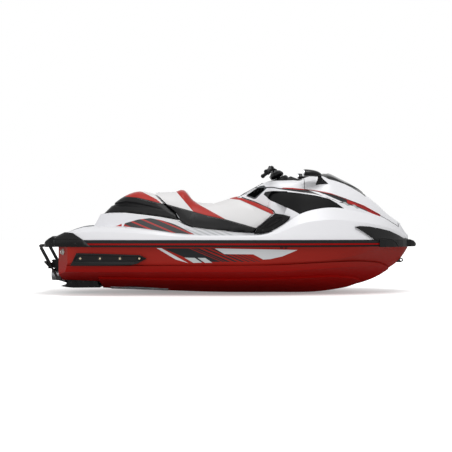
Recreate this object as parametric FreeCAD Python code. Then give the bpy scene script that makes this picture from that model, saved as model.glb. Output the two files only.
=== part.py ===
import FreeCAD, Part

import math
import os

from FreeCAD import Vector
from functools import lru_cache

# A sit-on watercraft driven by a water jet, afloat on its waterline.
# Frame: +X to the bow, +Y to port, +Z up, origin at mid-length on the waterline. Millimetres.

# Overall sizes
LENGTH = 3370.0
BEAM = 1230.0
DRAFT = 240.0
BOND_Z = 192.0
RAIL_HEIGHT = 61.0
RAIL_OUT = 18.0
MOVING_GAP = 5.0
SEAM_GAP = 3.0
SEAT_GAP = 0.3

BOW_X = LENGTH / 2
STERN_X = -LENGTH / 2
RAIL_TOP_Z = BOND_Z + RAIL_HEIGHT
BOND_HALF = BEAM / 2 - RAIL_OUT

# Hull: each line is a list of (station, value) pairs from the stern to the stem
TRANSOM_X = STERN_X + 110
HULL_BACK_X = -1600.0
HULL_NOSE_X = 1605.0
CHINE_NOSE_X = 1425.0
PAD_BACK_X = -1226.0
PAD_NOSE_X = 1164.0
STATION_STEP = 260.0
NOSE_STEP = 14.0
PAD_STEP = 20.0
CHINE_LIP = 8.0
CORNER_X = -1446.0
CORNER_Y = 395.0
BOND_SHARE = [(-1600, 0.90), (-1450, 0.945), (-1200, 0.98), (-800, 0.997), (-300, 1.0), (200, 0.988),
              (600, 0.938), (900, 0.851), (1150, 0.72), (1350, 0.536), (1480, 0.36), (1550, 0.226),
              (1590, 0.117), (1605, 0.03)]
STEM_KEEL = [(-1600, -140), (-1450, -150), (-700, -185), (0, -205), (600, -205), (900, -180),
             (1200, -110), (1350, -55), (1425, -15), (1499, 35), (1555, 96), (1590, 150), (1605, 176)]
BILGE_Y = [(-1600, 545), (-800, 560), (0, 560), (500, 520), (900, 430), (1080, 335), (1250, 205),
           (1336, 135), (1395, 90), (1480, 45), (1555, 28), (1605, 5)]
BILGE_Z = [(-1600, 34), (-800, 34), (0, 34), (500, 43), (900, 64), (1080, 64), (1250, 55), (1336, 45),
           (1395, 38), (1480, 62), (1555, 125), (1605, 182)]
KNUCKLE_Y = [(-1600, 560), (-800, 568), (0, 568), (500, 535), (900, 466), (1080, 400), (1250, 312),
             (1350, 245), (1480, 140), (1555, 75), (1605, 9)]
KNUCKLE_Z = [(-1600, 50), (0, 50), (500, 60), (900, 84), (1080, 112), (1250, 150), (1350, 166),
             (1480, 176), (1555, 183), (1605, 188)]
CHINE_Y = [(-1600, 540), (-800, 562), (0, 562), (500, 522), (900, 432), (1080, 338), (1250, 208),
           (1336, 135), (1395, 68), (1425, 20)]
CHINE_Z = [(-1600, 26), (-800, 26), (0, 26), (500, 35), (900, 56), (1080, 56), (1250, 45),
           (1336, 30), (1395, 5), (1425, -14)]
CHINE_KEEL = [(-1600, -150), (-1450, -163), (-700, -199), (0, -220), (600, -220), (900, -196),
              (1100, -168), (1200, -142), (1276, -114), (1350, -77), (1400, -45), (1425, -28)]
CHINE_DROP = [(-1600, 54), (600, 54), (1080, 46), (1250, 34), (1395, 14), (1425, 7)]
PAD_KEEL = [(-1600, -172), (-1250, -198), (-700, -221), (0, -DRAFT), (600, -DRAFT), (750, -235),
            (900, -217), (1052, -188), (1120, -165), (1164, -149)]
PAD_Y = [(-1600, 340), (-700, 355), (0, 360), (500, 350), (800, 300), (950, 235), (1064, 160),
         (1120, 105), (1150, 60), (1164, 25)]

# Jet unit: one axis through shaft, impeller and nozzle
PUMP_Z = -75.0
IMPELLER_R = 74.0
PUMP_R = IMPELLER_R + MOVING_GAP
PUMP_WALL = 8.0
PUMP_FRONT_X = -1235.0
PUMP_BACK_X = -1470.0
FLANGE_THICKNESS = 14.0
FLANGE_OUT = 14.0
IMPELLER_FRONT_X = -1255.0
IMPELLER_LENGTH = 90.0
BLADES = 4
BLADE_TWIST = 75.0
BLADE_THICKNESS = 7.2
HUB_R = 30.0
STATOR_VANES = 8
STATOR_THICKNESS = 4.0
SHAFT_R = 13.0
SHAFT_FRONT_X = -446.0
SHAFT_BACK_X = -1432.0
COUPLING_R = 34.0
COUPLING_LENGTH = 40.0
BEARING_CLEARANCE = 0.5
TUNNEL_HALF = 135.0
TUNNEL_TOP_Z = 62.0
VENTURI_R = 46.0
WAIST_R = 55.0
VENTURI_END_X = -1560.0
NOZZLE_PIVOT_X = -1560.0
NOZZLE_FRONT_X = -1550.0
NOZZLE_END_X = -1700.0
NOZZLE_CUP_R = 70.0
NOZZLE_WALL = 7.0
NOZZLE_MOUTH_R = 45.0
STEER_ARM_REACH = 80.0
PIVOT_PIN_R = 7.0
BUCKET_PIVOT_X = -1568.0
BUCKET_R = 165.0
BUCKET_WALL = 8.0
BUCKET_HALF = 118.0
BUCKET_SIDE = 9.0
BUCKET_PIN_R = 8.0
BUCKET_FROM_DEG = 97.0
BUCKET_TO_DEG = 158.0
INTAKE_HALF = 105.0
PLATE_FRONT_X = -1235.0
PLATE_END_X = -1604.0
PLATE_HALF = 168.0
PLATE_TOP_Z = -118.0
PLATE_BOTTOM_Z = -190.0
PLATE_FLOOR_Z = -174.0
PLATE_WALL = 12.0
GRATE_BAR_R = 7.0
GRATE_BAR_Y = (-54, -18, 18, 54)

# Engine bay and engine
BAY_BACK_X = -560.0
BAY_FRONT_X = 400.0
BAY_HALF = 225.0
BAY_FLOOR_Z = -120.0
BAY_TOP_Z = 290.0
ENGINE_BACK_X = -430.0
ENGINE_LENGTH = 720.0
ENGINE_WIDTH = 400.0
ENGINE_HEIGHT = 390.0

# Footwells
WELL_BACK_X = -1010.0
WELL_FRONT_X = 470.0
WELL_INNER = 268.0
WELL_OUTER = 520.0
WELL_FLOOR_Z = 150.0
WELL_THICKNESS = 20.0
MAT_THICKNESS = 6.0
MAT_EDGE = 12.0

# Deck: bulwark and fairing edge, then the crown of the deck
EDGE_IN = [(-1600, 40), (-1400, 36), (-1000, 26), (200, 24), (320, 38), (400, 62), (510, 88), (720, 112),
           (940, 118), (1100, 122), (1330, 90), (1480, 56), (1560, 30), (1605, 8)]
EDGE_Z = [(-1600, 262), (-1520, 306), (-1400, 348), (-1200, 366), (-1000, 360), (-868, 349), (-659, 323),
          (-450, 297), (-300, 292), (100, 292), (212, 297), (317, 316), (400, 366), (509, 455), (583, 481),
          (718, 524), (827, 540), (938, 534), (1100, 506), (1328, 452), (1473, 378), (1560, 302),
          (1605, 262)]
CROWN_Z = [(-1600, 288), (-1572, 303), (-1481, 342), (-1369, 373), (-1285, 378), (-1000, 378), (-868, 355),
           (-300, 300), (212, 305), (400, 380), (600, 495), (827, 550), (1100, 516), (1328, 470),
           (1473, 400), (1560, 330), (1605, 285)]
EDGE_BULGE_OUT = 0.35
EDGE_BULGE_UP = 0.62

# Upper cowl, carrying the hood
COWL_BACK_X = 180.0
COWL_BASE_Z = 250.0
COWL_FOOT = 30.0
COWL_HALF = [(180, 185), (255, 212), (320, 252), (400, 322), (500, 350), (600, 388), (800, 398),
             (1000, 372), (1200, 300), (1400, 196), (1520, 112), (1590, 40), (1606, 18)]
COWL_TOP = [(180, 690), (255, 735), (321, 775), (480, 786), (600, 800), (660, 826), (832, 860), (903, 836),
            (978, 799), (1071, 752), (1177, 681), (1294, 593), (1387, 505), (1521, 404), (1574, 328),
            (1606, 290)]
COWL_ROUNDING = [(1.0, 0.0), (0.97, 0.38), (0.86, 0.72), (0.62, 0.92)]
CONSOLE_BACK_X = -80.0
CONSOLE_FRONT_X = 620.0
CONSOLE_HALF = [(-80, 150), (100, 176), (200, 202), (300, 232), (420, 262), (620, 262)]
CONSOLE_TOP = [(-80, 585), (25, 640), (274, 772), (321, 789), (620, 791)]
CONSOLE_ROUNDING = [(1.0, 0.0), (0.97, 0.45), (0.93, 0.8), (0.80, 0.955)]
SEAM_LINE = [(560, 717), (722, 686), (1030, 605), (1223, 516), (1339, 460), (1478, 384), (1508, 366)]
HOOD_WALL = 16.0
HOOD_BACK_X = 622.0
HOOD_BACK_TOP_X = 664.0
HOOD_FRONT_X = 1500.0
HOOD_PIVOT = (1512.0, 400.0)
HOOD_PIN_R = 4.0
HOOD_ARM_Y = (-54, 38)
HOOD_ARM_WIDTH = 16.0
VISOR_THICKNESS = 9.0
VISOR = [(835, 238), (1000, 214), (1110, 142), (1182, 40)]
VISOR_NOTCH_X = 862.0
LID_THICKNESS = 14.0
LID_CLEARANCE = 1.0
LID_HALF = 112.0
LID_PIVOT = (258.0, 768.0)
LID_PIN_R = 3.0
LID_ARM_Y = (-64, 54)
LID_ARM_WIDTH = 10.0
PANEL_WALL = 20.0
PANEL_SINK = 4.0
VENT_SINK = 12.0
VENT_INNER = 126.0
PANEL = [(258, 654), (301, 686), (383, 693), (553, 674), (720, 648), (838, 618), (905, 580), (972, 532),
         (938, 528), (827, 536), (718, 520), (583, 476), (525, 510), (400, 570), (302, 614)]
VENT = [(86, 662), (164, 712), (206, 722), (266, 724), (262, 700), (180, 634)]

# Seats
SEAT_TOP = [(-1260, 440), (-1217, 490), (-1118, 589), (-1037, 652), (-887, 705), (-750, 687), (-640, 689),
            (-550, 695), (-475, 717), (-430, 668), (-390, 618), (-300, 590), (-163, 596), (-47, 636),
            (25, 655), (120, 652), (220, 640), (380, 600)]
SEAT_BASE = [(-1260, 205), (-1100, 232), (-700, 258), (-300, 272), (0, 283), (380, 318)]
SEAT_SHOULDER = [(-1260, 120), (-1100, 150), (-700, 165), (-300, 150), (0, 152), (100, 192), (200, 224),
                 (380, 262)]
SEAT_BASE_Z = 250.0
SEAT_FLOOR = [(-1225, 484), (-1145, 494), (-1045, 496), (-864, 476), (-682, 452), (-528, 424), (-454, 384),
              (-391, 361), (-274, 343), (-138, 330), (42, 316), (165, 309)]
SEAM = [(-748, 720), (-745, 682), (-635, 573), (-537, 484), (-511, 420)]
SEAT_FRONT = [(25, 720), (30, 662), (60, 640), (181, 598), (303, 541), (347, 514), (356, 488), (200, 357),
              (165, 309)]
PEDESTAL = [(-1290, 170, 168), (-1200, 205, 200), (-1000, 246, 232), (-600, 264, 252), (0, 266, 262),
            (480, 266, 264)]
KNEE_TRIM = [(358, 487), (430, 478), (490, 460), (482, 438), (409, 369), (310, 318), (228, 305), (170, 305),
             (206, 357)]
KNEE_POCKET = [(232, 352), (262, 342), (345, 384), (424, 440), (398, 452), (340, 424), (268, 372)]
KNEE_FACE = [(150, 292, 282), (260, 315, 303), (400, 346, 334), (500, 374, 362)]
POCKET_DEPTH = 4.0

# Rail and bumpers
RAIL_BACK_X = -1330.0
STRIPE_BACK_X = -1300.0
STRIPE_DEPTH = 8.0
BUMPER_BACK_X = 1286.0
BUMPER_THICKNESS = 17.0
TONGUE_TOP = [(1057, 368), (1104, 375), (1197, 370), (1294, 353), (1396, 330), (1482, 293), (1537, 266)]
TONGUE_LOW = [(1295, 226), (1236, 254), (1218, 268), (1160, 308), (1095, 348)]
STRIPE_Z0 = 208.0
STRIPE_Z1 = 223.0
BUMPER_TIP = [(1270, 180), (1270, 262), (1606, 256), (1655, 240), (1686, 214), (1686, 198), (1660, 182)]
CORNER_GUARD = 12.0
CORNER_SIDE = [(-1690, 190), (-1690, 226), (-1623, 276), (-1560, 304), (-1501, 321), (-1425, 315), (-1332, 256),
               (-1258, 190)]
CORNER_TAIL = [(-1690, 190), (-1690, 226), (-1650, 258), (-1598, 287), (-1598, 190)]

# Hull fittings
SPONSON = [(-1386, 139), (-1100, 132), (-833, 121), (-775, 92), (-857, 46), (-918, 33), (-1140, 29),
           (-1438, 28)]
SPONSON_FACE = [(-1370, 122), (-1100, 116), (-850, 107), (-812, 90), (-865, 66), (-1410, 62)]
SPONSON_SECTION = [(-530, 160), (-594, 150), (-600, 112), (-596, 70), (-611, 40), (-612, 28), (-530, 22)]
BOLT_X = [-1351.0, -1180.0, -1006.0, -838.0]
BOLT_Z = 92.0
BOLT_R = 9.0
BOW_EYE = (1545.0, 60.0)
BOW_EYE_R = 9.0
BOW_EYE_HALF = 6.0
BOW_EYE_RIM = 10.0
STERN_EYE = Vector(-1517.0, -484.0, 146.0)
STERN_EYE_OUT = Vector(-0.843, -0.538, 0)
STERN_EYE_ACROSS = Vector(-0.538, 0.843, 0)
EYE_FOOT_R = 27.0
EYE_RING_R = 18.0
EYE_WIRE_R = 5.0

# Boarding step
STEP_PIVOT = (-1612.0, -100.0)
STEP_TOP = (-1772.0, 196.0)
STEP_HALF = 225.0
STEP_TUBE = 10.0
STEP_HUB_R = 13.0
STEP_PIN_R = 5.0
STEP_LUG = 6.0
TREAD = [(-1668, 2), (-1672, 10), (-1722, 58), (-1738, 52), (-1680, -12)]

# Steering
COLUMN_TILT_DEG = 24.8
COLUMN = Vector(400.0, 0.0, 818.0)
STEM_R = 16.0
BOSS_R = 62.0
BOSS_LENGTH = 120.0
GRIP_R = 17.0
BAR_R = 11.0
BAR_LINE = [(277, -382, 862), (331, -240, 900), (352, -100, 886), (359, 0, 869), (352, 100, 886),
            (331, 240, 900), (277, 382, 862)]
PAD_SECTIONS = [(12, -58, 58, 95), (32, -62, 60, 118), (58, -50, 42, 112), (74, -34, 18, 80)]
MIRROR_Y = -352.0
MIRROR_SECTIONS = [(604, 853, 31, 66), (650, 850, 32, 67), (700, 846, 29, 60), (745, 838, 22, 44),
                   (768, 832, 10, 20)]
MIRROR_FOOT = [(722, 838, -300, -240, 730), (724, 836, -304, -262, 752), (736, 800, -330, -300, 785),
               (736, 768, -352, -326, 830)]
GLASS_THICKNESS = 8.0


def along(table, x):
    """Smooth value at station x of a line given by a few points, without overshoot."""
    if x <= table[0][0]:
        return float(table[0][1])
    if x >= table[-1][0]:
        return float(table[-1][1])
    slopes = [(b[1] - a[1]) / (b[0] - a[0]) for a, b in zip(table, table[1:])]
    i = next(k for k in range(len(slopes)) if x <= table[k + 1][0])

    def tangent(k):
        if k == 0:
            return slopes[0]
        if k == len(slopes):
            return slopes[-1]
        before, after = slopes[k - 1], slopes[k]
        return 0.0 if before * after <= 0 else 2 * before * after / (before + after)

    (x0, v0), (x1, v1) = table[i], table[i + 1]
    span = x1 - x0
    t = (x - x0) / span
    return (v0 * (1 + 2 * t) * (1 - t) ** 2 + v1 * t * t * (3 - 2 * t)
            + span * tangent(i) * t * (1 - t) ** 2 - span * tangent(i + 1) * t * t * (1 - t))


def stations(back, nose, step=STATION_STEP, least=NOSE_STEP):
    """Places of the sections: even along the body, closer and closer towards the nose."""
    places, gap = [nose], least
    while places[-1] - gap * 1.5 > back:
        places.append(places[-1] - gap)
        gap = min(gap * 1.5, step)
    return list(reversed(places + [back]))


def bond_half(x):
    """Half-breadth of hull and deck where they are bonded, inside the rub rail."""
    return BOND_HALF * along(BOND_SHARE, x)


# Shapes that the pieces are made from

def polygon_wire(points):
    """Closed wire of straight edges through the points."""
    return Part.makePolygon(list(points) + [points[0]])


def spline_edge(points):
    curve = Part.BSplineCurve()
    curve.interpolate(list(points))
    return curve.toShape()


def closed_spline(points):
    curve = Part.BSplineCurve()
    curve.interpolate(list(points), PeriodicFlag=True)
    return Part.Wire([curve.toShape()])


def section(x, half):
    """Closed symmetric section at station x, straight-edged, from points (y, z) keel to gunwale."""
    right = [Vector(x, -y, z) for y, z in half if y > 0]
    left = [Vector(x, y, z) for y, z in reversed(half) if y > 0]
    middle = [Vector(x, y, z) for y, z in half if y == 0]
    return polygon_wire(middle + right + left)


def roofed_section(x, sides, top_z):
    """Closed symmetric section with a flat base: sides upwards as (y, z), then a point on the centreline."""
    right = [Vector(x, -y, z) for y, z in sides]
    left = [Vector(x, y, z) for y, z in reversed(sides)]
    return polygon_wire(right + [Vector(x, 0, top_z)] + left)


def arch(x, base_z, half):
    """Closed symmetric section at station x: one curve over the top through (y, z), and a flat base."""
    right = [Vector(x, -y, z) for y, z in half if y > 0]
    top = [Vector(x, y, z) for y, z in half if y == 0]
    left = [Vector(x, -p.y, p.z) for p in reversed(right)]
    points = right + top + left
    first = Vector(x, right[0].y, base_z)
    last = Vector(x, -right[0].y, base_z)
    edges = [Part.LineSegment(first, points[0]).toShape(), spline_edge(points),
             Part.LineSegment(points[-1], last).toShape(), Part.LineSegment(last, first).toShape()]
    return Part.Wire(edges)


def loft(wires, ruled=False):
    return Part.makeLoft(wires, True, ruled)


def box(x0, x1, y0, y1, z0, z1):
    return Part.makeBox(x1 - x0, y1 - y0, z1 - z0, Vector(x0, y0, z0))


def rod(start, end, radius):
    """Cylinder between two points."""
    start, end = Vector(start), Vector(end)
    return Part.makeCylinder(radius, (end - start).Length, start, end - start)


def side_prism(outline, y0, y1):
    """Solid of a side-view outline of (x, z) points, between two values of y."""
    wire = polygon_wire([Vector(x, y0, z) for x, z in outline])
    return Part.Face(wire).extrude(Vector(0, y1 - y0, 0))


def plan_prism(outline, z0, z1):
    """Solid of a top-view outline of (x, y) points, between two heights."""
    wire = polygon_wire([Vector(x, y, z0) for x, y in outline])
    return Part.Face(wire).extrude(Vector(0, 0, z1 - z0))


def revolve(profile):
    """Solid of (x, radius) points turned about the jet axis."""
    face = Part.Face(polygon_wire([Vector(x, 0, PUMP_Z + r) for x, r in profile]))
    return face.revolve(Vector(0, 0, PUMP_Z), Vector(1, 0, 0), 360)


def mirrored(shape):
    """The same shape on the other side of the centreline."""
    return shape.mirror(Vector(0, 0, 0), Vector(0, 1, 0))


def pair(shape):
    return Part.makeCompound([shape, mirrored(shape)])


def fused(shapes):
    return shapes[0].fuse(shapes[1:])


def save(name, shape):
    """Writes one node. Every solid in it is closed and has volume."""
    solids = [s for s in shape.Solids if s.Volume > 1000.0]
    assert solids, name
    for solid in solids:
        assert solid.isValid(), name
    out = solids[0] if len(solids) == 1 else Part.makeCompound(solids)
    out.exportStep(f"parts/{name}.step")
    print(f"{name}: {len(solids)} solids, {out.Volume / 1e6:.3f} litres")


# Hull

@lru_cache(None)
def hull_body():
    """Topsides and stem: the layer that carries the deck."""
    wires = []
    for x in stations(HULL_BACK_X, HULL_NOSE_X):
        half = [(0, along(STEM_KEEL, x)), (along(BILGE_Y, x), along(BILGE_Z, x)),
                (along(KNUCKLE_Y, x), along(KNUCKLE_Z, x)), (bond_half(x), BOND_Z)]
        wires.append(section(x, half))
    return loft(wires)


def chine_line(x):
    """Lower edge of the chine, and keel height of the layer it belongs to."""
    y = along(CHINE_Y, x)
    z = along(CHINE_Z, x)
    drop = along(CHINE_DROP, x)
    return max(y - 0.5 * drop, 0.6 * y), z - drop


@lru_cache(None)
def chine_layer():
    """Planing bottom with its chines, ending in a rounded nose on the stem."""
    wires = []
    for x in stations(HULL_BACK_X, CHINE_NOSE_X):
        y, z = along(CHINE_Y, x), along(CHINE_Z, x)
        low_y, low_z = chine_line(x)
        inner = max(y - 60, 0.4 * y)
        half = [(0, along(CHINE_KEEL, x)), (low_y, low_z), (y + CHINE_LIP, z), (inner, z + 14)]
        wires.append(section(x, half))
    return loft(wires)


def bottom_z(x, y):
    """Height of the planing bottom at half-breadth y."""
    low_y, low_z = chine_line(x)
    keel = along(CHINE_KEEL, x)
    return keel + (low_z - keel) * y / low_y


def pad_layer():
    """Running pad inside the strakes, one step lower, ending in its own nose."""
    wires = []
    for x in stations(PAD_BACK_X, PAD_NOSE_X):
        y = along(PAD_Y, x)
        keel = along(PAD_KEEL, x)
        edge_z = max(bottom_z(x, y) - PAD_STEP, keel + 6)
        half = [(0, keel), (y, edge_z), (0.94 * y, edge_z + PAD_STEP + 12)]
        wires.append(section(x, half))
    return loft(wires)


@lru_cache(None)
def whole_topsides():
    return hull_body().fuse(chine_layer())


def duct_ring(x, z, up, tilt_deg, wide):
    """Closed oval around a point of the duct, in a plane tilted forward."""
    tilt = math.radians(tilt_deg)
    points = []
    for k in range(12):
        a = 2 * math.pi * k / 12
        points.append(Vector(x + up * math.cos(a) * math.sin(tilt), wide * math.sin(a),
                             z + up * math.cos(a) * math.cos(tilt)))
    return closed_spline(points)


def intake_duct():
    """Water passage from the hull bottom up to the impeller."""
    return loft([duct_ring(PUMP_FRONT_X - 5, PUMP_Z, PUMP_R, 0, PUMP_R),
                 duct_ring(PUMP_FRONT_X + 45, PUMP_Z - 1, PUMP_R, 4, PUMP_R),
                 duct_ring(-1060, -105, 86, 26, 88), duct_ring(-960, -152, 122, 52, 98),
                 duct_ring(-900, -205, 200, 76, INTAKE_HALF), duct_ring(-880, -310, 240, 90, INTAKE_HALF)])


def hull():
    body = whole_topsides().fuse(pad_layer())
    corner = plan_prism([(CORNER_X, BOND_HALF), (CORNER_X, BEAM), (STERN_X - 200, BEAM),
                         (STERN_X - 200, CORNER_Y), (TRANSOM_X, CORNER_Y)], -400, BOND_Z + 50)
    cuts = [corner, mirrored(corner)]
    cuts.append(box(STERN_X - 100, TRANSOM_X, -BEAM, BEAM, -400, BOND_Z + 50))
    tunnel_top = TUNNEL_TOP_Z - TUNNEL_HALF
    cuts.append(box(STERN_X - 100, PUMP_FRONT_X, -TUNNEL_HALF, TUNNEL_HALF, -400, tunnel_top))
    cuts.append(rod((STERN_X - 100, 0, tunnel_top), (PUMP_FRONT_X, 0, tunnel_top), TUNNEL_HALF))
    cuts.append(box(STERN_X - 100, PLATE_FRONT_X, -PLATE_HALF, PLATE_HALF, -400, PLATE_TOP_Z))
    cuts.append(intake_duct())
    cuts.append(rod((PUMP_FRONT_X - 10, 0, PUMP_Z), (BAY_BACK_X + 10, 0, PUMP_Z), SHAFT_R + MOVING_GAP))
    cuts.append(box(BAY_BACK_X, BAY_FRONT_X, -BAY_HALF, BAY_HALF, BAY_FLOOR_Z, BOND_Z + 50))
    tub = well_tub(BOND_Z + 50)
    cuts += [tub, mirrored(tub)]
    return body.cut(cuts)


def well_tub(top_z):
    """Outside of the port footwell below the deck."""
    return box(WELL_BACK_X - WELL_THICKNESS, WELL_FRONT_X + WELL_THICKNESS, WELL_INNER - WELL_THICKNESS,
               WELL_OUTER + WELL_THICKNESS, WELL_FLOOR_Z - WELL_THICKNESS, top_z)


# Deck

@lru_cache(None)
def deck_base(out=0.0):
    """Deck from gunwale to gunwale with its bulwarks, grown outwards by a little when asked."""
    wires = []
    for x in stations(HULL_BACK_X, HULL_NOSE_X, step=150.0):
        b = bond_half(x) + out
        inset = along(EDGE_IN, x)
        edge_z = along(EDGE_Z, x) + out
        bulge_z = RAIL_TOP_Z + EDGE_BULGE_UP * (edge_z - RAIL_TOP_Z)
        sides = [(b, BOND_Z), (b, RAIL_TOP_Z), (b - EDGE_BULGE_OUT * inset, bulge_z), (b - inset, edge_z)]
        wires.append(roofed_section(x, sides, along(CROWN_Z, x) + out))
    return loft(wires)


def rounded_body(places, halves, tops, rounding, out):
    """Body with a flat foot whose sections are one curve over the top."""
    wires = []
    for x in places:
        w = max(along(halves, x) + out, 4)
        top = along(tops, x) + out
        half = [(share * w, COWL_BASE_Z + up * (top - COWL_BASE_Z)) for share, up in rounding]
        wires.append(arch(x, COWL_BASE_Z - COWL_FOOT, half + [(0, top)]))
    return loft(wires)


@lru_cache(None)
def cowl(out=0.0):
    """Front bodywork that hood and instrument panel belong to."""
    return rounded_body(stations(COWL_BACK_X, COWL_HALF[-1][0], step=95.0), COWL_HALF, COWL_TOP, COWL_ROUNDING,
                        out)


@lru_cache(None)
def console(out=0.0):
    """Column between seat and hood that carries the handlebar."""
    return rounded_body(stations(CONSOLE_BACK_X, CONSOLE_FRONT_X, step=70.0, least=70.0), CONSOLE_HALF,
                        CONSOLE_TOP, CONSOLE_ROUNDING, out)


def skin(form, outer, inner, space):
    """Layer of a body between two offsets of its surface, within a space."""
    return form(outer).common(space).cut(form(inner))


@lru_cache(None)
def pedestal():
    """White base of the seats, from the footwell floors up to the seats."""
    body = loft([roofed_section(x, [(foot, BOND_Z), (waist, 520)], 520) for x, foot, waist in PEDESTAL])
    above = [(x, z - SEAT_GAP) for x, z in SEAT_FLOOR] + [(500, 305), (500, 900), (-1500, 900), (-1500, 330),
                                                        (-1290, 374)]
    return body.cut(side_prism(above, -400, 400))


def above_seam(up=0.0, forward=0.0, front=0.0):
    """Space above the line where hood and cowl part, shifted by the gap between them."""
    line = [(x, z + up) for x, z in SEAM_LINE]
    low = spline_edge([Vector(x, -700, z) for x, z in line])
    corners = [Vector(line[-1][0], -700, line[-1][1]), Vector(line[-1][0], -700, 1200),
               Vector(line[0][0], -700, 1200), Vector(line[0][0], -700, line[0][1])]
    edges = [low] + [Part.LineSegment(a, b).toShape() for a, b in zip(corners, corners[1:])]
    space = Part.Face(Part.Wire(edges)).extrude(Vector(0, 1400, 0))
    back_x, front_x = HOOD_BACK_X + forward, HOOD_FRONT_X + front
    trim = side_prism([(back_x, 500), (back_x, 720), (HOOD_BACK_TOP_X + forward, 1200), (front_x, 1200),
                       (front_x, 200)], -700, 700)
    return space.common(trim)


def hood():
    half_gap = MOVING_GAP / 2
    shell = skin(cowl, 0.0, -HOOD_WALL, above_seam(half_gap, half_gap, -half_gap))
    x, z = HOOD_PIVOT
    pin = rod((x, -58, z), (x, 58, z), HOOD_PIN_R)
    outline = [(x - 78, z - 6), (x - 78, z + 70), (x - 8, z + 20), (x + 7, z + 6), (x + 7, z - 7),
               (x - 20, z - 12)]
    arms = [side_prism(outline, y, y + HOOD_ARM_WIDTH).common(cowl(-1)) for y in HOOD_ARM_Y]
    return shell.fuse(arms + [pin])


def hood_visor():
    outline = [(x, -y) for x, y in VISOR] + [(x, y) for x, y in reversed(VISOR)] + [(VISOR_NOTCH_X, 0)]
    strip = plan_prism(outline, 560, 950)
    return skin(cowl, VISOR_THICKNESS, 0.2, strip)


def well_hollow():
    """Inside of the port footwell, sloping up at both ends."""
    inner, outer = WELL_INNER, WELL_OUTER
    hollow = box(WELL_BACK_X, WELL_FRONT_X, inner, outer, WELL_FLOOR_Z, 900)
    slope = side_prism([(WELL_BACK_X - 1, WELL_FLOOR_Z - 1), (WELL_BACK_X + 190, WELL_FLOOR_Z - 1),
                        (WELL_BACK_X - 1, 400)], inner - 1, outer + 1)
    front = side_prism([(WELL_FRONT_X + 1, WELL_FLOOR_Z - 1), (300, WELL_FLOOR_Z - 1), (330, 330),
                        (420, 420), (500, 640), (600, 640), (600, 100)], inner - 1, outer + 1)
    return hollow.cut([slope, front])


def hood_hinge_notch():
    x, z = HOOD_PIVOT
    return box(x - 80, x + 16, -62, 62, z - 40, z + 60)


def hood_hinge_lug():
    x, z = HOOD_PIVOT
    lug = side_prism([(x - 12, z - 60), (x - 12, z), (x, z + 10), (x + 20, z), (x + 20, z - 60)], -30, 30)
    return lug.cut(rod((x, -40, z), (x, 40, z), HOOD_PIN_R + BEARING_CLEARANCE))


def lid_hinge_slot():
    x, z = LID_PIVOT
    return box(x - 20, x + 10, -74, 74, z - 12, z + 40)


def lid_hinge_tab():
    x, z = LID_PIVOT
    tab = side_prism([(x - 5, z - 14), (x - 5, z), (x, z + 5), (x + 10, z), (x + 10, z - 14)], -48, 48)
    return tab.cut(rod((x, -60, z), (x, 60, z), LID_PIN_R + BEARING_CLEARANCE))


def bow_bin():
    """Storage well under the hood."""
    return plan_prism([(700, -240), (1180, -170), (1280, -90), (1280, 90), (1180, 170), (700, 240)], 330, 800)


def glovebox_bin():
    return side_prism([(66, 500), (66, 900), (236, 900), (236, 560)], -95, 95)


def column_axis():
    tilt = math.radians(COLUMN_TILT_DEG)
    return Vector(-math.sin(tilt), 0, math.cos(tilt))


def column_boss():
    return rod(COLUMN - column_axis() * BOSS_LENGTH, COLUMN, BOSS_R)


@lru_cache(None)
def deck():
    half_gap = MOVING_GAP / 2
    tub, hollow = well_tub(BOND_Z + 1), well_hollow()
    body = deck_base().fuse([console(), cowl(), pedestal(), tub, mirrored(tub), column_boss()])
    stem_hole = rod(COLUMN - column_axis() * 90, COLUMN + column_axis() * 20, STEM_R + BEARING_CLEARANCE)
    bay = box(BAY_BACK_X, BAY_FRONT_X, -BAY_HALF, BAY_HALF, 100, BAY_TOP_Z)
    body = body.cut([hollow, mirrored(hollow), bay,
                     above_seam(-half_gap, -half_gap, 8 - half_gap), bow_bin(), glovebox_bin(), panel_space(),
                     vent_space(), stem_hole, hood_hinge_notch(), lid_hinge_slot(), lid_space()])
    return body.fuse([hood_hinge_lug(), lid_hinge_tab()])


# Lids and panels of the deck

def glovebox_lid():
    outline = [(50, 640), (50, 760), (252, 860), (252, 700)]
    lid = skin(console, 3.0, -LID_THICKNESS, side_prism(outline, -LID_HALF, LID_HALF))
    x, z = LID_PIVOT
    pin = rod((x, -70, z), (x, 70, z), LID_PIN_R)
    arms = [side_prism([(x - 16, z - 7), (x - 16, z + 2), (x + 4, z + 4), (x + 4, z - 4)], y, y + LID_ARM_WIDTH)
            for y in LID_ARM_Y]
    return lid.fuse(arms + [pin])


def lid_space():
    """Recess in the console that the glovebox lid lies in."""
    outline = [(44, 620), (44, 760), (258, 860), (258, 680)]
    return skin(console, 20.0, -LID_THICKNESS - LID_CLEARANCE, side_prism(outline, -LID_HALF - 5, LID_HALF + 5))


def panel_space():
    return skin(cowl, 10.0, -PANEL_WALL, side_prism(PANEL, -700, 700))


def intake_panel():
    body = skin(cowl, -PANEL_SINK, -PANEL_WALL, side_prism(PANEL, -700, 0))
    return body.cut([deck_base(), console()])


def vent_sides():
    """Space of the two vent openings, one on each side of the console."""
    return side_prism(VENT, -700, 700).cut(box(0, 400, -VENT_INNER, VENT_INNER, 0, 900))


def vent_space():
    return skin(console, 10.0, -PANEL_WALL, vent_sides())


def console_vents():
    return skin(console, -VENT_SINK, -PANEL_WALL, vent_sides())


def knee_face(sink):
    """Slab whose outer side is the knee trim's surface, moved inwards by sink."""
    wires = []
    for x, half_low, half_high in KNEE_FACE:
        wires.append(polygon_wire([Vector(x, sink - half_low, 280), Vector(x, sink - half_high, 520),
                                   Vector(x, -150, 520), Vector(x, -150, 280)]))
    return loft(wires)


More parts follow.
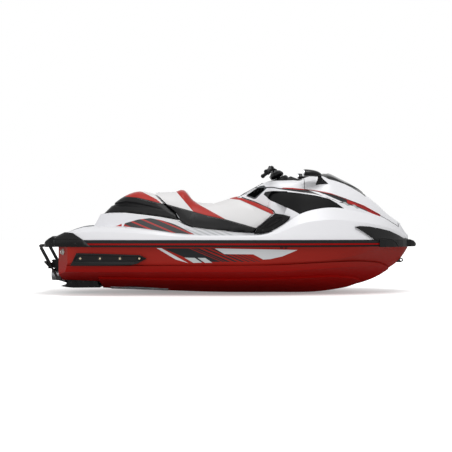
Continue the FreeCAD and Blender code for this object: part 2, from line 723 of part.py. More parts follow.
def knee_trim():
    trim = side_prism(KNEE_TRIM, -400, -235).common(knee_face(0.0))
    pocket = side_prism(KNEE_POCKET, -400, -235).cut(knee_face(POCKET_DEPTH))
    return trim.cut([pocket, console(), cowl(), pedestal(), deck_base()])


# Seats

@lru_cache(None)
def seat_form():
    """Outside of both seats: saddle shape, narrow at the top, wide at the knees."""
    wires = []
    for x in [-1260, -1190, -1118, -1037, -960, -887, -800, -700, -600, -530, -475, -430, -390, -300, -163,
              -47, 60, 200, 380]:
        top = along(SEAT_TOP, x)
        base, shoulder = along(SEAT_BASE, x), along(SEAT_SHOULDER, x)
        rise = top - SEAT_BASE_Z
        half = [(base, SEAT_BASE_Z), (base - 0.16 * (base - shoulder), SEAT_BASE_Z + 0.42 * rise),
                (base - 0.55 * (base - shoulder), SEAT_BASE_Z + 0.74 * rise),
                (shoulder, SEAT_BASE_Z + 0.93 * rise), (0.5 * shoulder, top - 5), (0, top)]
        wires.append(arch(x, SEAT_BASE_Z - 10, half))
    return loft(wires)


def rear_seat():
    low = [(x, z) for x, z in SEAT_FLOOR if x < SEAM[-1][0]]
    outline = low + list(reversed(SEAM)) + [(SEAM[0][0], 900), (-1400, 900), (-1400, 480)]
    return seat_form().common(side_prism(outline, -400, 400)).cut(deck_base(SEAT_GAP))


def front_seat():
    low = [(x, z) for x, z in SEAT_FLOOR if x > SEAM[-1][0]]
    back = [(SEAM[0][0] + SEAM_GAP, 900)] + [(x + SEAM_GAP, z) for x, z in SEAM]
    outline = low + list(reversed(SEAT_FRONT))[1:] + [(SEAT_FRONT[0][0], 900)] + back
    body = seat_form().common(side_prism(outline, -400, 400))
    return body.cut([console(SEAT_GAP), cowl(SEAT_GAP), deck_base(SEAT_GAP)])


# Rail and bumpers

def rail_band(inner, outer, z0, z1, x0, x1):
    """Strip along the starboard gunwale between two offsets."""
    places = stations(HULL_BACK_X, HULL_NOSE_X, step=200.0)
    outline = [(x, -(bond_half(x) + outer)) for x in places]
    outline += [(x, -(bond_half(x) + inner)) for x in reversed(places)]
    return plan_prism(outline, z0, z1).common(box(x0, x1, -BEAM, 0, z0 - 1, z1 + 1))


def tongue_outline(gap):
    """Side view of the bow bumper, grown backwards by a gap."""
    top = [(x - gap, z) for x, z in TONGUE_TOP]
    low = [(x - gap, z) for x, z in TONGUE_LOW]
    return top + [(1600, 262), (1600, BOND_Z - 10), (BUMPER_BACK_X - gap, BOND_Z - 10)] + low


def corner_side():
    """Space of the stern bumper in the side view, a little longer than the bumper."""
    return side_prism([(x + SEAT_GAP, z) for x, z in CORNER_SIDE], -700, 0)


def rub_rail():
    x0, x1 = RAIL_BACK_X, BUMPER_BACK_X
    body = rail_band(0.2, RAIL_OUT - 4, BOND_Z, RAIL_TOP_Z, x0, x1)
    body = body.fuse([rail_band(5, RAIL_OUT, RAIL_TOP_Z - 24, RAIL_TOP_Z - 4, x0, x1),
                      rail_band(5, RAIL_OUT, BOND_Z, BOND_Z + 12, x0, x1)])
    groove = rail_band(RAIL_OUT - STRIPE_DEPTH, RAIL_OUT + 20, STRIPE_Z0, STRIPE_Z1, x0 - 5, x1 + 5)
    return body.cut([groove, deck_base(), side_prism(tongue_outline(SEAT_GAP), -700, 0), corner_side()])


def rail_stripe():
    band = rail_band(RAIL_OUT - STRIPE_DEPTH, RAIL_OUT - 1, STRIPE_Z0, STRIPE_Z1, STRIPE_BACK_X, BUMPER_BACK_X)
    return band.cut([side_prism(tongue_outline(SEAT_GAP), -700, 0), corner_side()])


def bow_bumper():
    """Black guard around the bow, with a tongue up each side of the nose."""
    guard = skin(deck_base, BUMPER_THICKNESS, 0.2, side_prism(tongue_outline(0.0), -500, 500))
    back = BUMPER_BACK_X
    outer = [(x, -(bond_half(x) + 26)) for x in (back, 1350, 1430, 1480, 1530, 1570, 1595)]
    outer += [(BOW_X - 55, -66), (BOW_X - 25, -42), (BOW_X - 7, -20), (BOW_X, 0)]
    outer = outer + [(x, -y) for x, y in reversed(outer[:-1])]
    band = plan_prism(outer + [(back, 0)], BOND_Z - 6, RAIL_TOP_Z).common(side_prism(BUMPER_TIP, -700, 700))
    return guard.fuse(band).cut([deck_base(0.2), hull_body(), cowl(0.2)])


def stern_bumper():
    """Black corner guard at the starboard end of the stern."""
    outer = [(-1255, -bond_half(-1255) - 14), (-1340, -bond_half(-1340) - 17), (-1450, -bond_half(-1450) - 14),
             (-1560, -562), (-1630, -545), (-1670, -520), (STERN_X, -480), (STERN_X, -360), (-1660, -335),
             (-1500, -335), (-1255, -400)]
    band = plan_prism(outer, 150, 400)
    side = side_prism(CORNER_SIDE, -700, 0)
    tail = side_prism(CORNER_TAIL, -700, 0)
    return band.common(side).common(deck_base(CORNER_GUARD).fuse(tail)).cut(deck_base(0.2))


# Hull fittings

@lru_cache(None)
def sponson():
    wire = polygon_wire([Vector(-1500, y, z) for y, z in SPONSON_SECTION])
    bar = Part.Face(wire).extrude(Vector(800, 0, 0))
    recess = side_prism(SPONSON_FACE, -640, -593)
    return bar.common(side_prism(SPONSON, -640, -500)).cut([recess, whole_topsides()])


def sponson_bolts():
    bolts = [rod((x, -588, BOLT_Z), (x, -600, BOLT_Z), BOLT_R).cut(sponson()) for x in BOLT_X]
    return Part.makeCompound(bolts + [mirrored(bolt) for bolt in bolts])


def ride_plate():
    """Flat plate under the jet, with side walls bolted up into the hull."""
    half = PLATE_HALF - 2
    outline = [(PLATE_FRONT_X, -half), (-1540, -half), (PLATE_END_X, -120), (PLATE_END_X, 120), (-1540, half),
               (PLATE_FRONT_X, half)]
    side = side_prism([(PLATE_FRONT_X, PLATE_BOTTOM_Z + 2), (-1268, PLATE_TOP_Z), (-1528, PLATE_TOP_Z),
                       (-1545, -160), (PLATE_END_X, -166), (PLATE_END_X, -178), (-1480, PLATE_BOTTOM_Z)],
                      -300, 300)
    hollow = box(-1650, PLATE_FRONT_X + 10, PLATE_WALL - half, half - PLATE_WALL, PLATE_FLOOR_Z, 0)
    body = plan_prism(outline, PLATE_BOTTOM_Z, PLATE_TOP_Z).common(side).cut(hollow)
    ribs = [side_prism([(x - 7, -182), (x - 7, -130), (x + 7, -130), (x + 7, -182)],
                       s * (half - 1), s * (half + 7))
            for x in (-1458, -1322) for s in (1, -1)]
    return body.fuse(ribs)


def intake_grate(whole_hull):
    bars = []
    for y in GRATE_BAR_Y:
        z = -228 + abs(y) * 0.36
        bars.append(rod((-1150, y, z + 22), (-620, y, z + 4), GRATE_BAR_R))
    tie = rod((-760, -110, -206), (-760, 110, -206), GRATE_BAR_R - 1)
    return fused(bars + [tie]).cut(whole_hull)


def pump_housing():
    """Impeller tube, stator and outlet cone, with the lugs that carry nozzle and bucket."""
    outer = PUMP_R + PUMP_WALL
    tube = rod((PUMP_BACK_X, 0, PUMP_Z), (PUMP_FRONT_X, 0, PUMP_Z), outer)
    cone = revolve([(PUMP_BACK_X, outer), (PUMP_BACK_X, 0), (VENTURI_END_X, 0), (VENTURI_END_X, VENTURI_R + 6),
                    (-1545, VENTURI_R + 7), (-1505, WAIST_R + 6)])
    flanges = [rod((x, 0, PUMP_Z), (x + FLANGE_THICKNESS, 0, PUMP_Z), outer + FLANGE_OUT)
               for x in (PUMP_BACK_X - 7, PUMP_FRONT_X - 16)]
    body = tube.fuse([cone] + flanges)
    body = body.cut(box(-1700, -1200, -200, 200, -400, -160))
    bore = revolve([(PUMP_FRONT_X + 1, 0), (PUMP_FRONT_X + 1, PUMP_R), (PUMP_BACK_X, PUMP_R),
                    (-1500, WAIST_R), (-1545, VENTURI_R + 1), (VENTURI_END_X - 1, VENTURI_R),
                    (VENTURI_END_X - 1, 0)])
    body = body.cut(bore)
    hub = revolve([(-1362, 0), (-1362, HUB_R + 4), (-1450, HUB_R + 4), (-1525, 6), (-1525, 0)])
    hub = hub.cut(rod((-1361, 0, PUMP_Z), (SHAFT_BACK_X - 8, 0, PUMP_Z), SHAFT_R + BEARING_CLEARANCE))
    vanes = []
    for k in range(STATOR_VANES):
        vane = box(-1455, -1375, -STATOR_THICKNESS / 2, STATOR_THICKNESS / 2, HUB_R, PUMP_R + 1)
        vane.rotate(Vector(0, 0, 0), Vector(1, 0, 0), 360.0 * (k + 0.5) / STATOR_VANES)
        vane.translate(Vector(0, 0, PUMP_Z))
        vanes.append(vane)
    body = body.fuse([hub] + vanes)
    lugs = []
    for s in (1, -1):
        x, z = NOZZLE_PIVOT_X, PUMP_Z + s * 89
        ear = rod((x, 0, z - 5), (x, 0, z + 5), 16)
        strap = box(x, PUMP_BACK_X, -16, 16, z - 5, z + 5)
        pin = rod((x, 0, PUMP_Z + s * 58), (x, 0, PUMP_Z + s * 90), PIVOT_PIN_R)
        arm = box(BUCKET_PIVOT_X - 14, PUMP_BACK_X, s * 100 - 5, s * 100 + 5, PUMP_Z - 15, PUMP_Z + 15)
        stub = rod((BUCKET_PIVOT_X, s * 100, PUMP_Z), (BUCKET_PIVOT_X, s * 121, PUMP_Z), BUCKET_PIN_R)
        lugs += [ear, strap, pin, arm, stub]
    return body.fuse(lugs)


def impeller():
    back = IMPELLER_FRONT_X - IMPELLER_LENGTH
    hub = revolve([(IMPELLER_FRONT_X + 14, SHAFT_R), (IMPELLER_FRONT_X, 22), (back, HUB_R), (back - 6, HUB_R),
                   (back - 6, 0), (IMPELLER_FRONT_X + 14, 0)])
    shaft = rod((SHAFT_BACK_X, 0, PUMP_Z), (SHAFT_FRONT_X, 0, PUMP_Z), SHAFT_R)
    coupling = rod((SHAFT_FRONT_X - COUPLING_LENGTH, 0, PUMP_Z), (SHAFT_FRONT_X, 0, PUMP_Z), COUPLING_R)
    blades = []
    for k in range(BLADES):
        wires = []
        for step in range(7):
            x = IMPELLER_FRONT_X - 4 - step / 6 * (IMPELLER_LENGTH - 10)
            turn = math.radians(360.0 * k / BLADES + step / 6 * BLADE_TWIST)
            radial = Vector(0, math.sin(turn), math.cos(turn))
            across = Vector(0, math.cos(turn), -math.sin(turn)) * (BLADE_THICKNESS / 2)
            root = Vector(x, 0, PUMP_Z) + radial * (SHAFT_R + 4)
            tip = Vector(x, 0, PUMP_Z) + radial * IMPELLER_R
            wires.append(polygon_wire([root - across, root + across, tip + across, tip - across]))
        blades.append(loft(wires))
    return hub.fuse(blades + [shaft, coupling])


def jet_nozzle():
    """Steered outlet: a cup over the end of the cone, narrowing to the mouth."""
    outside = revolve([(NOZZLE_FRONT_X, 0), (NOZZLE_FRONT_X, NOZZLE_CUP_R + NOZZLE_WALL),
                       (-1575, NOZZLE_CUP_R + NOZZLE_WALL - 1), (-1640, 56), (NOZZLE_END_X, NOZZLE_MOUTH_R + 8),
                       (NOZZLE_END_X, 0)])
    inside = revolve([(NOZZLE_FRONT_X + 1, 0), (NOZZLE_FRONT_X + 1, NOZZLE_CUP_R), (-1574, NOZZLE_CUP_R - 1),
                      (-1636, 49), (NOZZLE_END_X - 1, NOZZLE_MOUTH_R), (NOZZLE_END_X - 1, 0)])
    x = NOZZLE_PIVOT_X
    bosses = [rod((x, 0, PUMP_Z + s * (NOZZLE_CUP_R + 2)), (x, 0, PUMP_Z + s * 79), 14) for s in (1, -1)]
    arm = box(-1600, -1580, -STEER_ARM_REACH, -60, PUMP_Z - 5, PUMP_Z + 5).cut(inside)
    body = outside.cut(inside).fuse(bosses + [arm])
    return body.cut(rod((x, 0, PUMP_Z - 82), (x, 0, PUMP_Z + 82), PIVOT_PIN_R + BEARING_CLEARANCE))


def bucket_wedge(y0, y1, start, end):
    """Sector of a circle about the bucket's pivot."""
    points = [(BUCKET_PIVOT_X, PUMP_Z)]
    steps = 10
    for k in range(steps + 1):
        a = math.radians(start + (end - start) * k / steps)
        points.append((BUCKET_PIVOT_X + BUCKET_R * math.cos(a), PUMP_Z + BUCKET_R * math.sin(a)))
    return side_prism(points, y0, y1)


def reverse_bucket():
    """Curved gate held above the jet, that swings down behind it."""
    x, z = BUCKET_PIVOT_X, PUMP_Z
    start, end = BUCKET_FROM_DEG, BUCKET_TO_DEG
    shell = bucket_wedge(-BUCKET_HALF, BUCKET_HALF, start, end)
    shell = shell.cut(rod((x, -200, z), (x, 200, z), BUCKET_R - BUCKET_WALL))
    bore = rod((x, -200, z), (x, 200, z), BUCKET_PIN_R + BEARING_CLEARANCE)
    sides = []
    for s in (1, -1):
        outer, inner = s * BUCKET_HALF, s * (BUCKET_HALF - BUCKET_SIDE)
        plate = bucket_wedge(outer, inner, start + 12, end - 12)
        sides.append(plate.fuse(rod((x, outer, z), (x, inner, z), 22)).cut(bore))
    return shell.fuse(sides)


def bow_eye():
    x, z = BOW_EYE
    half = BOW_EYE_HALF
    lug = rod((x, -half, z), (x, half, z), BOW_EYE_R + BOW_EYE_RIM)
    lug = lug.fuse(box(x - 50, x, -half, half, z - 22, z + 16))
    return lug.cut([rod((x, -20, z), (x, 20, z), BOW_EYE_R), hull_body()])


def stern_eye():
    """Starboard tie-down ring on its round foot."""
    foot = Part.makeCylinder(EYE_FOOT_R, 12, STERN_EYE - STERN_EYE_OUT * 6, STERN_EYE_OUT)
    ring = Part.makeTorus(EYE_RING_R, EYE_WIRE_R)
    turn = FreeCAD.Rotation(Vector(0, 0, 1), STERN_EYE_ACROSS)
    ring.Placement = FreeCAD.Placement(STERN_EYE + STERN_EYE_OUT * 10, turn)
    return foot.fuse(ring)


# Boarding step

def step_bracket():
    x, z = STEP_PIVOT
    parts = []
    for s in (1, -1):
        for y in (STEP_HALF - 22, STEP_HALF + 16):
            parts.append(side_prism([(TRANSOM_X, z + 40), (TRANSOM_X - 12, z + 34), (x - 14, z + 6),
                                     (x - 8, z - 14), (TRANSOM_X, z - 16)], s * y, s * (y + STEP_LUG)))
        y0, y1 = sorted((s * (STEP_HALF - 30), s * (STEP_HALF + 30)))
        parts.append(box(TRANSOM_X - 5, TRANSOM_X, y0, y1, z - 16, z + 48))
        parts.append(rod((x, s * (STEP_HALF - 22), z), (x, s * (STEP_HALF + 22), z), STEP_PIN_R))
    return fused(parts)


@lru_cache(None)
def boarding_step():
    """Folding step: two arms, a cross bar at the top and a tread across the middle."""
    (x0, z0), (x1, z1) = STEP_PIVOT, STEP_TOP
    parts = [rod((x1, -STEP_HALF, z1), (x1, STEP_HALF, z1), STEP_TUBE)]
    holes = []
    for s in (1, -1):
        y = s * STEP_HALF
        parts.append(rod((x0, y, z0), (x1, y, z1), STEP_TUBE))
        parts.append(rod((x0, y - 10, z0), (x0, y + 10, z0), STEP_HUB_R))
        parts.append(Part.makeSphere(STEP_TUBE, Vector(x1, y, z1)))
        holes.append(rod((x0, y - 15, z0), (x0, y + 15, z0), STEP_PIN_R + BEARING_CLEARANCE))
    return fused(parts).cut(holes)


def step_tread():
    x, z = STEP_TOP
    sleeve = rod((x, -190, z), (x, 190, z), STEP_TUBE + 4)
    blocks = [side_prism(TREAD, s * 150, s * (STEP_HALF + 14)) for s in (1, -1)]
    return Part.makeCompound([piece.cut(boarding_step()) for piece in blocks + [sleeve]])


# Steering and cockpit

@lru_cache(None)
def handlebar():
    path = Part.Wire([spline_edge([Vector(*point) for point in BAR_LINE])])
    edge = path.Edges[0]
    circle = Part.Circle(Vector(*BAR_LINE[0]), edge.tangentAt(edge.FirstParameter), BAR_R)
    return path.makePipeShell([Part.Wire([circle.toShape()])], True, False)


@lru_cache(None)
def steering_stem():
    return rod(COLUMN - column_axis() * 80, COLUMN + column_axis() * 40, STEM_R)


def bar_pad():
    """Padded cover over stem and clamp."""
    tilt = math.radians(COLUMN_TILT_DEG)
    forward = Vector(math.cos(tilt), 0, math.sin(tilt))
    wires = []
    for s, back, front, wide in PAD_SECTIONS:
        centre = COLUMN + column_axis() * s
        corners = []
        for u, v in [(back, -0.7), (back, 0.7), (back + 24, 1), (front - 24, 1), (front, 0.7), (front, -0.7),
                     (front - 24, -1), (back + 24, -1)]:
            corners.append(centre + forward * u + Vector(0, v * wide, 0))
        wires.append(polygon_wire(corners))
    return loft(wires, True).cut([handlebar(), steering_stem()])


def grips():
    parts = []
    for s in (1, -1):
        start, end = Vector(318, s * 276, 890), Vector(272, s * 395, 858)
        direction = (end - start).normalize()
        flange = rod(start, start + direction * 6, GRIP_R + 7)
        knob = rod(end - direction * 8, end, GRIP_R + 4)
        parts.append(rod(start, end, GRIP_R).fuse([flange, knob]).cut(handlebar()))
    return Part.makeCompound(parts)


def levers():
    """Finger lever in front of each grip, with its clamp on the bar."""
    parts = []
    for s in (1, -1):
        clamp = rod((331, s * 216, 898), (328, s * 252, 897), 19)
        arm = rod((345, s * 236, 894), (372, s * 250, 880), 9)
        lever = rod((372, s * 246, 880), (340, s * 372, 848), 5)
        parts.append(clamp.fuse([arm, lever]).cut(handlebar()))
    return Part.makeCompound(parts)


def gauge_pod():
    body = side_prism([(470, 780), (486, 822), (512, 834), (604, 800), (604, 780)], -88, 88)
    return body.cut([cowl(SEAT_GAP), console(SEAT_GAP), column_boss()])


@lru_cache(None)
def mirror_form():
    """Starboard mirror's housing with its glass, as one solid."""
    wires = []
    for x, z, high, wide in MIRROR_SECTIONS:
        points = []
        for k in range(12):
            a = 2 * math.pi * k / 12
            points.append(Vector(x, MIRROR_Y + wide * math.cos(a), z + high * math.sin(a)))
        wires.append(closed_spline(points))
    return loft(wires)


def glass_space():
    x = MIRROR_SECTIONS[0][0]
    return box(x - 10, x + GLASS_THICKNESS, MIRROR_Y - 80, MIRROR_Y + 80, 800, 900)


def mirror():
    foot = loft([polygon_wire([Vector(x0, y0, z), Vector(x1, y0, z), Vector(x1, y1, z), Vector(x0, y1, z)])
                 for x0, x1, y0, y1, z in MIRROR_FOOT])
    return mirror_form().cut(glass_space()).fuse(foot).cut(cowl())


def mirror_glass():
    return mirror_form().common(glass_space())


def deck_mats():
    """Foam mats on the footwell floors and on the rear platform."""
    inner, outer = WELL_INNER + MAT_EDGE, WELL_OUTER - MAT_EDGE
    floor = box(WELL_BACK_X + 200, 290, -outer, -inner, WELL_FLOOR_Z, WELL_FLOOR_Z + MAT_THICKNESS)
    rear = skin(deck_base, MAT_THICKNESS, 0.0, box(-1560, -1300, -230, 230, 290, 420))
    return Part.makeCompound([floor, mirrored(floor), rear])


def engine():
    return box(ENGINE_BACK_X, ENGINE_BACK_X + ENGINE_LENGTH, -ENGINE_WIDTH / 2, ENGINE_WIDTH / 2, BAY_FLOOR_Z,
               BAY_FLOOR_Z + ENGINE_HEIGHT)


def main():
    os.makedirs("parts", exist_ok=True)
    whole_hull = hull()
    save("hull", whole_hull)
    save("deck", deck())
    for make in (hood, hood_visor, glovebox_lid, console_vents, rear_seat, front_seat, bow_bumper,
                 sponson_bolts, ride_plate, pump_housing, impeller, jet_nozzle, reverse_bucket, bow_eye,
                 step_bracket, boarding_step, step_tread, handlebar, steering_stem, bar_pad, grips, levers,
                 gauge_pod, deck_mats, engine):
        save(make.__name__, make())
    for make in (intake_panel, knee_trim, rub_rail, rail_stripe, stern_bumper, sponson):
        save(make.__name__ + "_starboard", make())
        save(make.__name__ + "_port", mirrored(make()))
    save("intake_grate", intake_grate(whole_hull))
    save("stern_eyes", pair(stern_eye().cut(whole_hull)))
    save("mirrors", pair(mirror()))
    save("mirror_glass", pair(mirror_glass()))


main()
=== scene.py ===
# %% [markdown]
# A sit-on jet watercraft, dressed in Blender on top of its CAD model.
# The CAD model comes in as the frame and stays where it is. Blender adds what CAD does badly: padded
# seats, moulded grips, stitching, screws, painted stripes and the light of a photo studio.
# Frame: +X to the bow, +Y to port, +Z up, metres, origin amidships on the waterline.

import math

import bpy
import numpy as np
from mathutils import Matrix, Vector
from mathutils.bvhtree import BVHTree


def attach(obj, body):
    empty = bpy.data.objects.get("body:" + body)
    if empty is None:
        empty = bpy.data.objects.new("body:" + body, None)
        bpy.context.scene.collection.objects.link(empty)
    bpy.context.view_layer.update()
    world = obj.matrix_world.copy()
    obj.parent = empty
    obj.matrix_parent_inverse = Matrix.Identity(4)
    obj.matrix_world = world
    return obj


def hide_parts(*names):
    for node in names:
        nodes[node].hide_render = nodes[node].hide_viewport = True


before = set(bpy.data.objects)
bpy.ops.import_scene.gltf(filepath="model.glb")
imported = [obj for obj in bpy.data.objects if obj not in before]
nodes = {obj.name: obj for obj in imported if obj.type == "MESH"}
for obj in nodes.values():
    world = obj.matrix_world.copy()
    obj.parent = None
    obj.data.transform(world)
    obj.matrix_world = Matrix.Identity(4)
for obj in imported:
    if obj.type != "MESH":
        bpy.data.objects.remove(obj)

# %% [markdown]
# ## Tools for modelling
# Blender's operators work on what is selected, so each piece starts alone, as a primitive. `turned`
# makes anything round by extruding one circle again and again and resizing it on the way, as on a lathe.
# `done` is the last step of each piece: it applies the transforms, smooths the shading up to a sharp
# angle, paints it and hangs it on the body it moves with.

# %% Tools for modelling
def only(piece):
    """Selects one piece and makes it active, in object mode."""
    if bpy.context.object and bpy.context.object.mode != "OBJECT":
        bpy.ops.object.mode_set(mode="OBJECT")
    bpy.ops.object.select_all(action="DESELECT")
    if piece:
        piece.select_set(True)
        bpy.context.view_layer.objects.active = piece


def begin(name, add, **how):
    """A new primitive, alone and selected, under its own name."""
    only(None)
    add(**how)
    piece = bpy.context.object
    piece.name = name
    return piece


def edit(piece):
    """Edit mode on one piece, choosing faces."""
    only(piece)
    bpy.ops.object.mode_set(mode="EDIT")
    bpy.ops.mesh.select_mode(type="FACE")


def pick(piece, test):
    """Edit mode with the faces selected whose middle and normal pass the test."""
    edit(piece)
    bpy.ops.mesh.select_all(action="DESELECT")
    bpy.ops.object.mode_set(mode="OBJECT")
    for face in piece.data.polygons:
        face.select = test(face.center, face.normal)
    bpy.ops.object.mode_set(mode="EDIT")


def turned(name, profile, segments=24):
    """Body turned about Z through (height, radius) steps."""
    (height, radius), rest = profile[0], profile[1:]
    piece = begin(name, bpy.ops.mesh.primitive_circle_add, vertices=segments, radius=radius,
                  fill_type="NGON", location=(0, 0, height))
    bpy.ops.object.transform_apply(location=True)
    edit(piece)
    bpy.ops.mesh.select_all(action="SELECT")
    for next_height, next_radius in rest:
        bpy.ops.mesh.extrude_region_move(TRANSFORM_OT_translate={"value": (0, 0, next_height - height)})
        share = next_radius / radius
        bpy.ops.transform.resize(value=(share, share, 1), center_override=(0, 0, next_height))
        height, radius = next_height, next_radius
    bpy.ops.mesh.select_all(action="SELECT")
    bpy.ops.mesh.normals_make_consistent(inside=False)
    only(piece)
    return piece


def block(name, size, rounding, place=(0, 0, 0)):
    """Box with rounded edges about a place."""
    piece = begin(name, bpy.ops.mesh.primitive_cube_add, size=1, location=place, scale=size)
    bpy.ops.object.transform_apply(location=True, scale=True)
    edit(piece)
    bpy.ops.mesh.select_all(action="SELECT")
    bpy.ops.mesh.bevel(offset=rounding, segments=2, affect="EDGES")
    only(piece)
    return piece


def tube(name, points, radius, closed=False, sides=3):
    """Round bar along points."""
    piece = begin(name, bpy.ops.curve.primitive_nurbs_path_add)
    curve = piece.data
    curve.splines.clear()
    spline = curve.splines.new("POLY")
    spline.points.add(len(points) - 1)
    for place, point in zip(spline.points, points):
        place.co = (*point, 1)
    spline.use_cyclic_u = closed
    curve.bevel_depth = radius
    curve.bevel_resolution = sides
    curve.use_fill_caps = not closed
    bpy.ops.object.convert(target="MESH")
    return bpy.context.object


def aimed(piece, place, axis):
    """Turns a piece's Z to an axis and its origin to a place."""
    turn = Vector(axis).to_track_quat("Z", "Y").to_matrix().to_4x4()
    piece.data.transform(Matrix.Translation(Vector(place)) @ turn)
    return piece


def tilted(piece, place, axis):
    """Leans a piece's Z over to an axis by the shortest way and moves its origin to a place."""
    tilt = Vector((0, 0, 1)).rotation_difference(axis).to_matrix().to_4x4()
    piece.data.transform(Matrix.Translation(place) @ tilt)
    return piece


def copied(piece, name):
    """A second piece with its own mesh."""
    other = piece.copy()
    other.data = piece.data.copy()
    other.name = name
    bpy.context.collection.objects.link(other)
    return other


def port_side(piece, name):
    """The same piece on the other side of the centreline, with its normals turned outwards again."""
    other = copied(piece, name)
    other.data.transform(Matrix.Scale(-1, 4, (0, 1, 0)))
    other.data.flip_normals()
    return other


def joined(name, pieces):
    """One piece out of several, under a new name."""
    only(pieces[0])
    for piece in pieces:
        piece.select_set(True)
    bpy.ops.object.join()
    pieces[0].name = name
    return pieces[0]


def done(piece, finish, body, sharp=38):
    """Applies transforms, smooths, paints and hangs a piece on its body."""
    only(piece)
    bpy.ops.object.transform_apply(location=True, rotation=True, scale=True)
    bpy.ops.object.shade_smooth_by_angle(angle=math.radians(sharp))
    piece.data.materials.clear()
    piece.data.materials.append(finish)
    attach(piece, body)
    return piece


def surface(*pieces):
    """Search tree over the faces of some pieces, to lay others on them."""
    corners, faces = [], []
    for piece in pieces:
        base = len(corners)
        corners += [corner.co.copy() for corner in piece.data.vertices]
        faces += [[base + i for i in face.vertices] for face in piece.data.polygons]
    return BVHTree.FromPolygons(corners, faces)


def land(tree, start, direction):
    """Where a ray meets a surface, and the surface's normal there, towards the ray's start."""
    direction = Vector(direction).normalized()
    place, normal, _, _ = tree.ray_cast(Vector(start), direction, 3.0)
    if place is None:
        return None, None
    return place, -normal if normal.dot(direction) > 0 else normal


def resampled(points, step=0.01):
    """Points at even steps along a broken line."""
    out = []
    for a, b in zip(points, points[1:]):
        a, b = Vector(a), Vector(b)
        count = max(int((b - a).length / step), 1)
        out += [a.lerp(b, k / count) for k in range(count)]
    return out + [Vector(points[-1])]


def traced(tree, outline, side=-1, lift=0.0):
    """A side-view line of (x, z) laid on a surface as seen from starboard (-1) or port (1)."""
    out = []
    for point in resampled(outline):
        place, normal = land(tree, (point[0], side * 1.5, point[1]), (0, -side, 0))
        if place is not None:
            out.append(place + normal * lift)
    return out


print("tools ready")

# %% [markdown]
# ## Tools for finishes
# A finish is a small program of nodes. `Signal` wraps a socket so that plain arithmetic writes the
# nodes: `a - b` adds a Subtract node. Stripes are patches of the side view: inside a convex outline
# every edge is on the same side, so the least of the distances to the edges is positive.

# %% Tools for finishes
def colour(red, green, blue):
    """Screen colour, 0 to 255, as the linear colour that Blender works in."""
    out = []
    for value in (red, green, blue):
        value = value / 255
        out.append(value / 12.92 if value <= 0.04045 else ((value + 0.055) / 1.055) ** 2.4)
    return (*out, 1.0)


class Signal:
    """A value that flows out of a node, with arithmetic that adds more nodes."""

    def __init__(self, finish, socket):
        self.finish = finish
        self.socket = socket

    def _math(self, operation, *others, clamp=False):
        settings = {"operation": operation, "use_clamp": clamp}
        return self.finish.node("ShaderNodeMath", settings, dict(enumerate((self, *others))))

    def __add__(self, other):
        return self._math("ADD", other)

    def __sub__(self, other):
        return self._math("SUBTRACT", other)

    def __mul__(self, other):
        return self._math("MULTIPLY", other)

    def __truediv__(self, other):
        return self._math("DIVIDE", other)

    def __rsub__(self, other):
        return self * -1.0 + other

    def least(self, other):
        return self._math("MINIMUM", other)

    def most(self, other):
        return self._math("MAXIMUM", other)

    def size(self):
        return self._math("ABSOLUTE")

    def inside(self, width=0.0012):
        """1 where the value is above 0, 0 below, with a soft edge."""
        return self._math("MULTIPLY_ADD", 1 / width, 0.5, clamp=True)


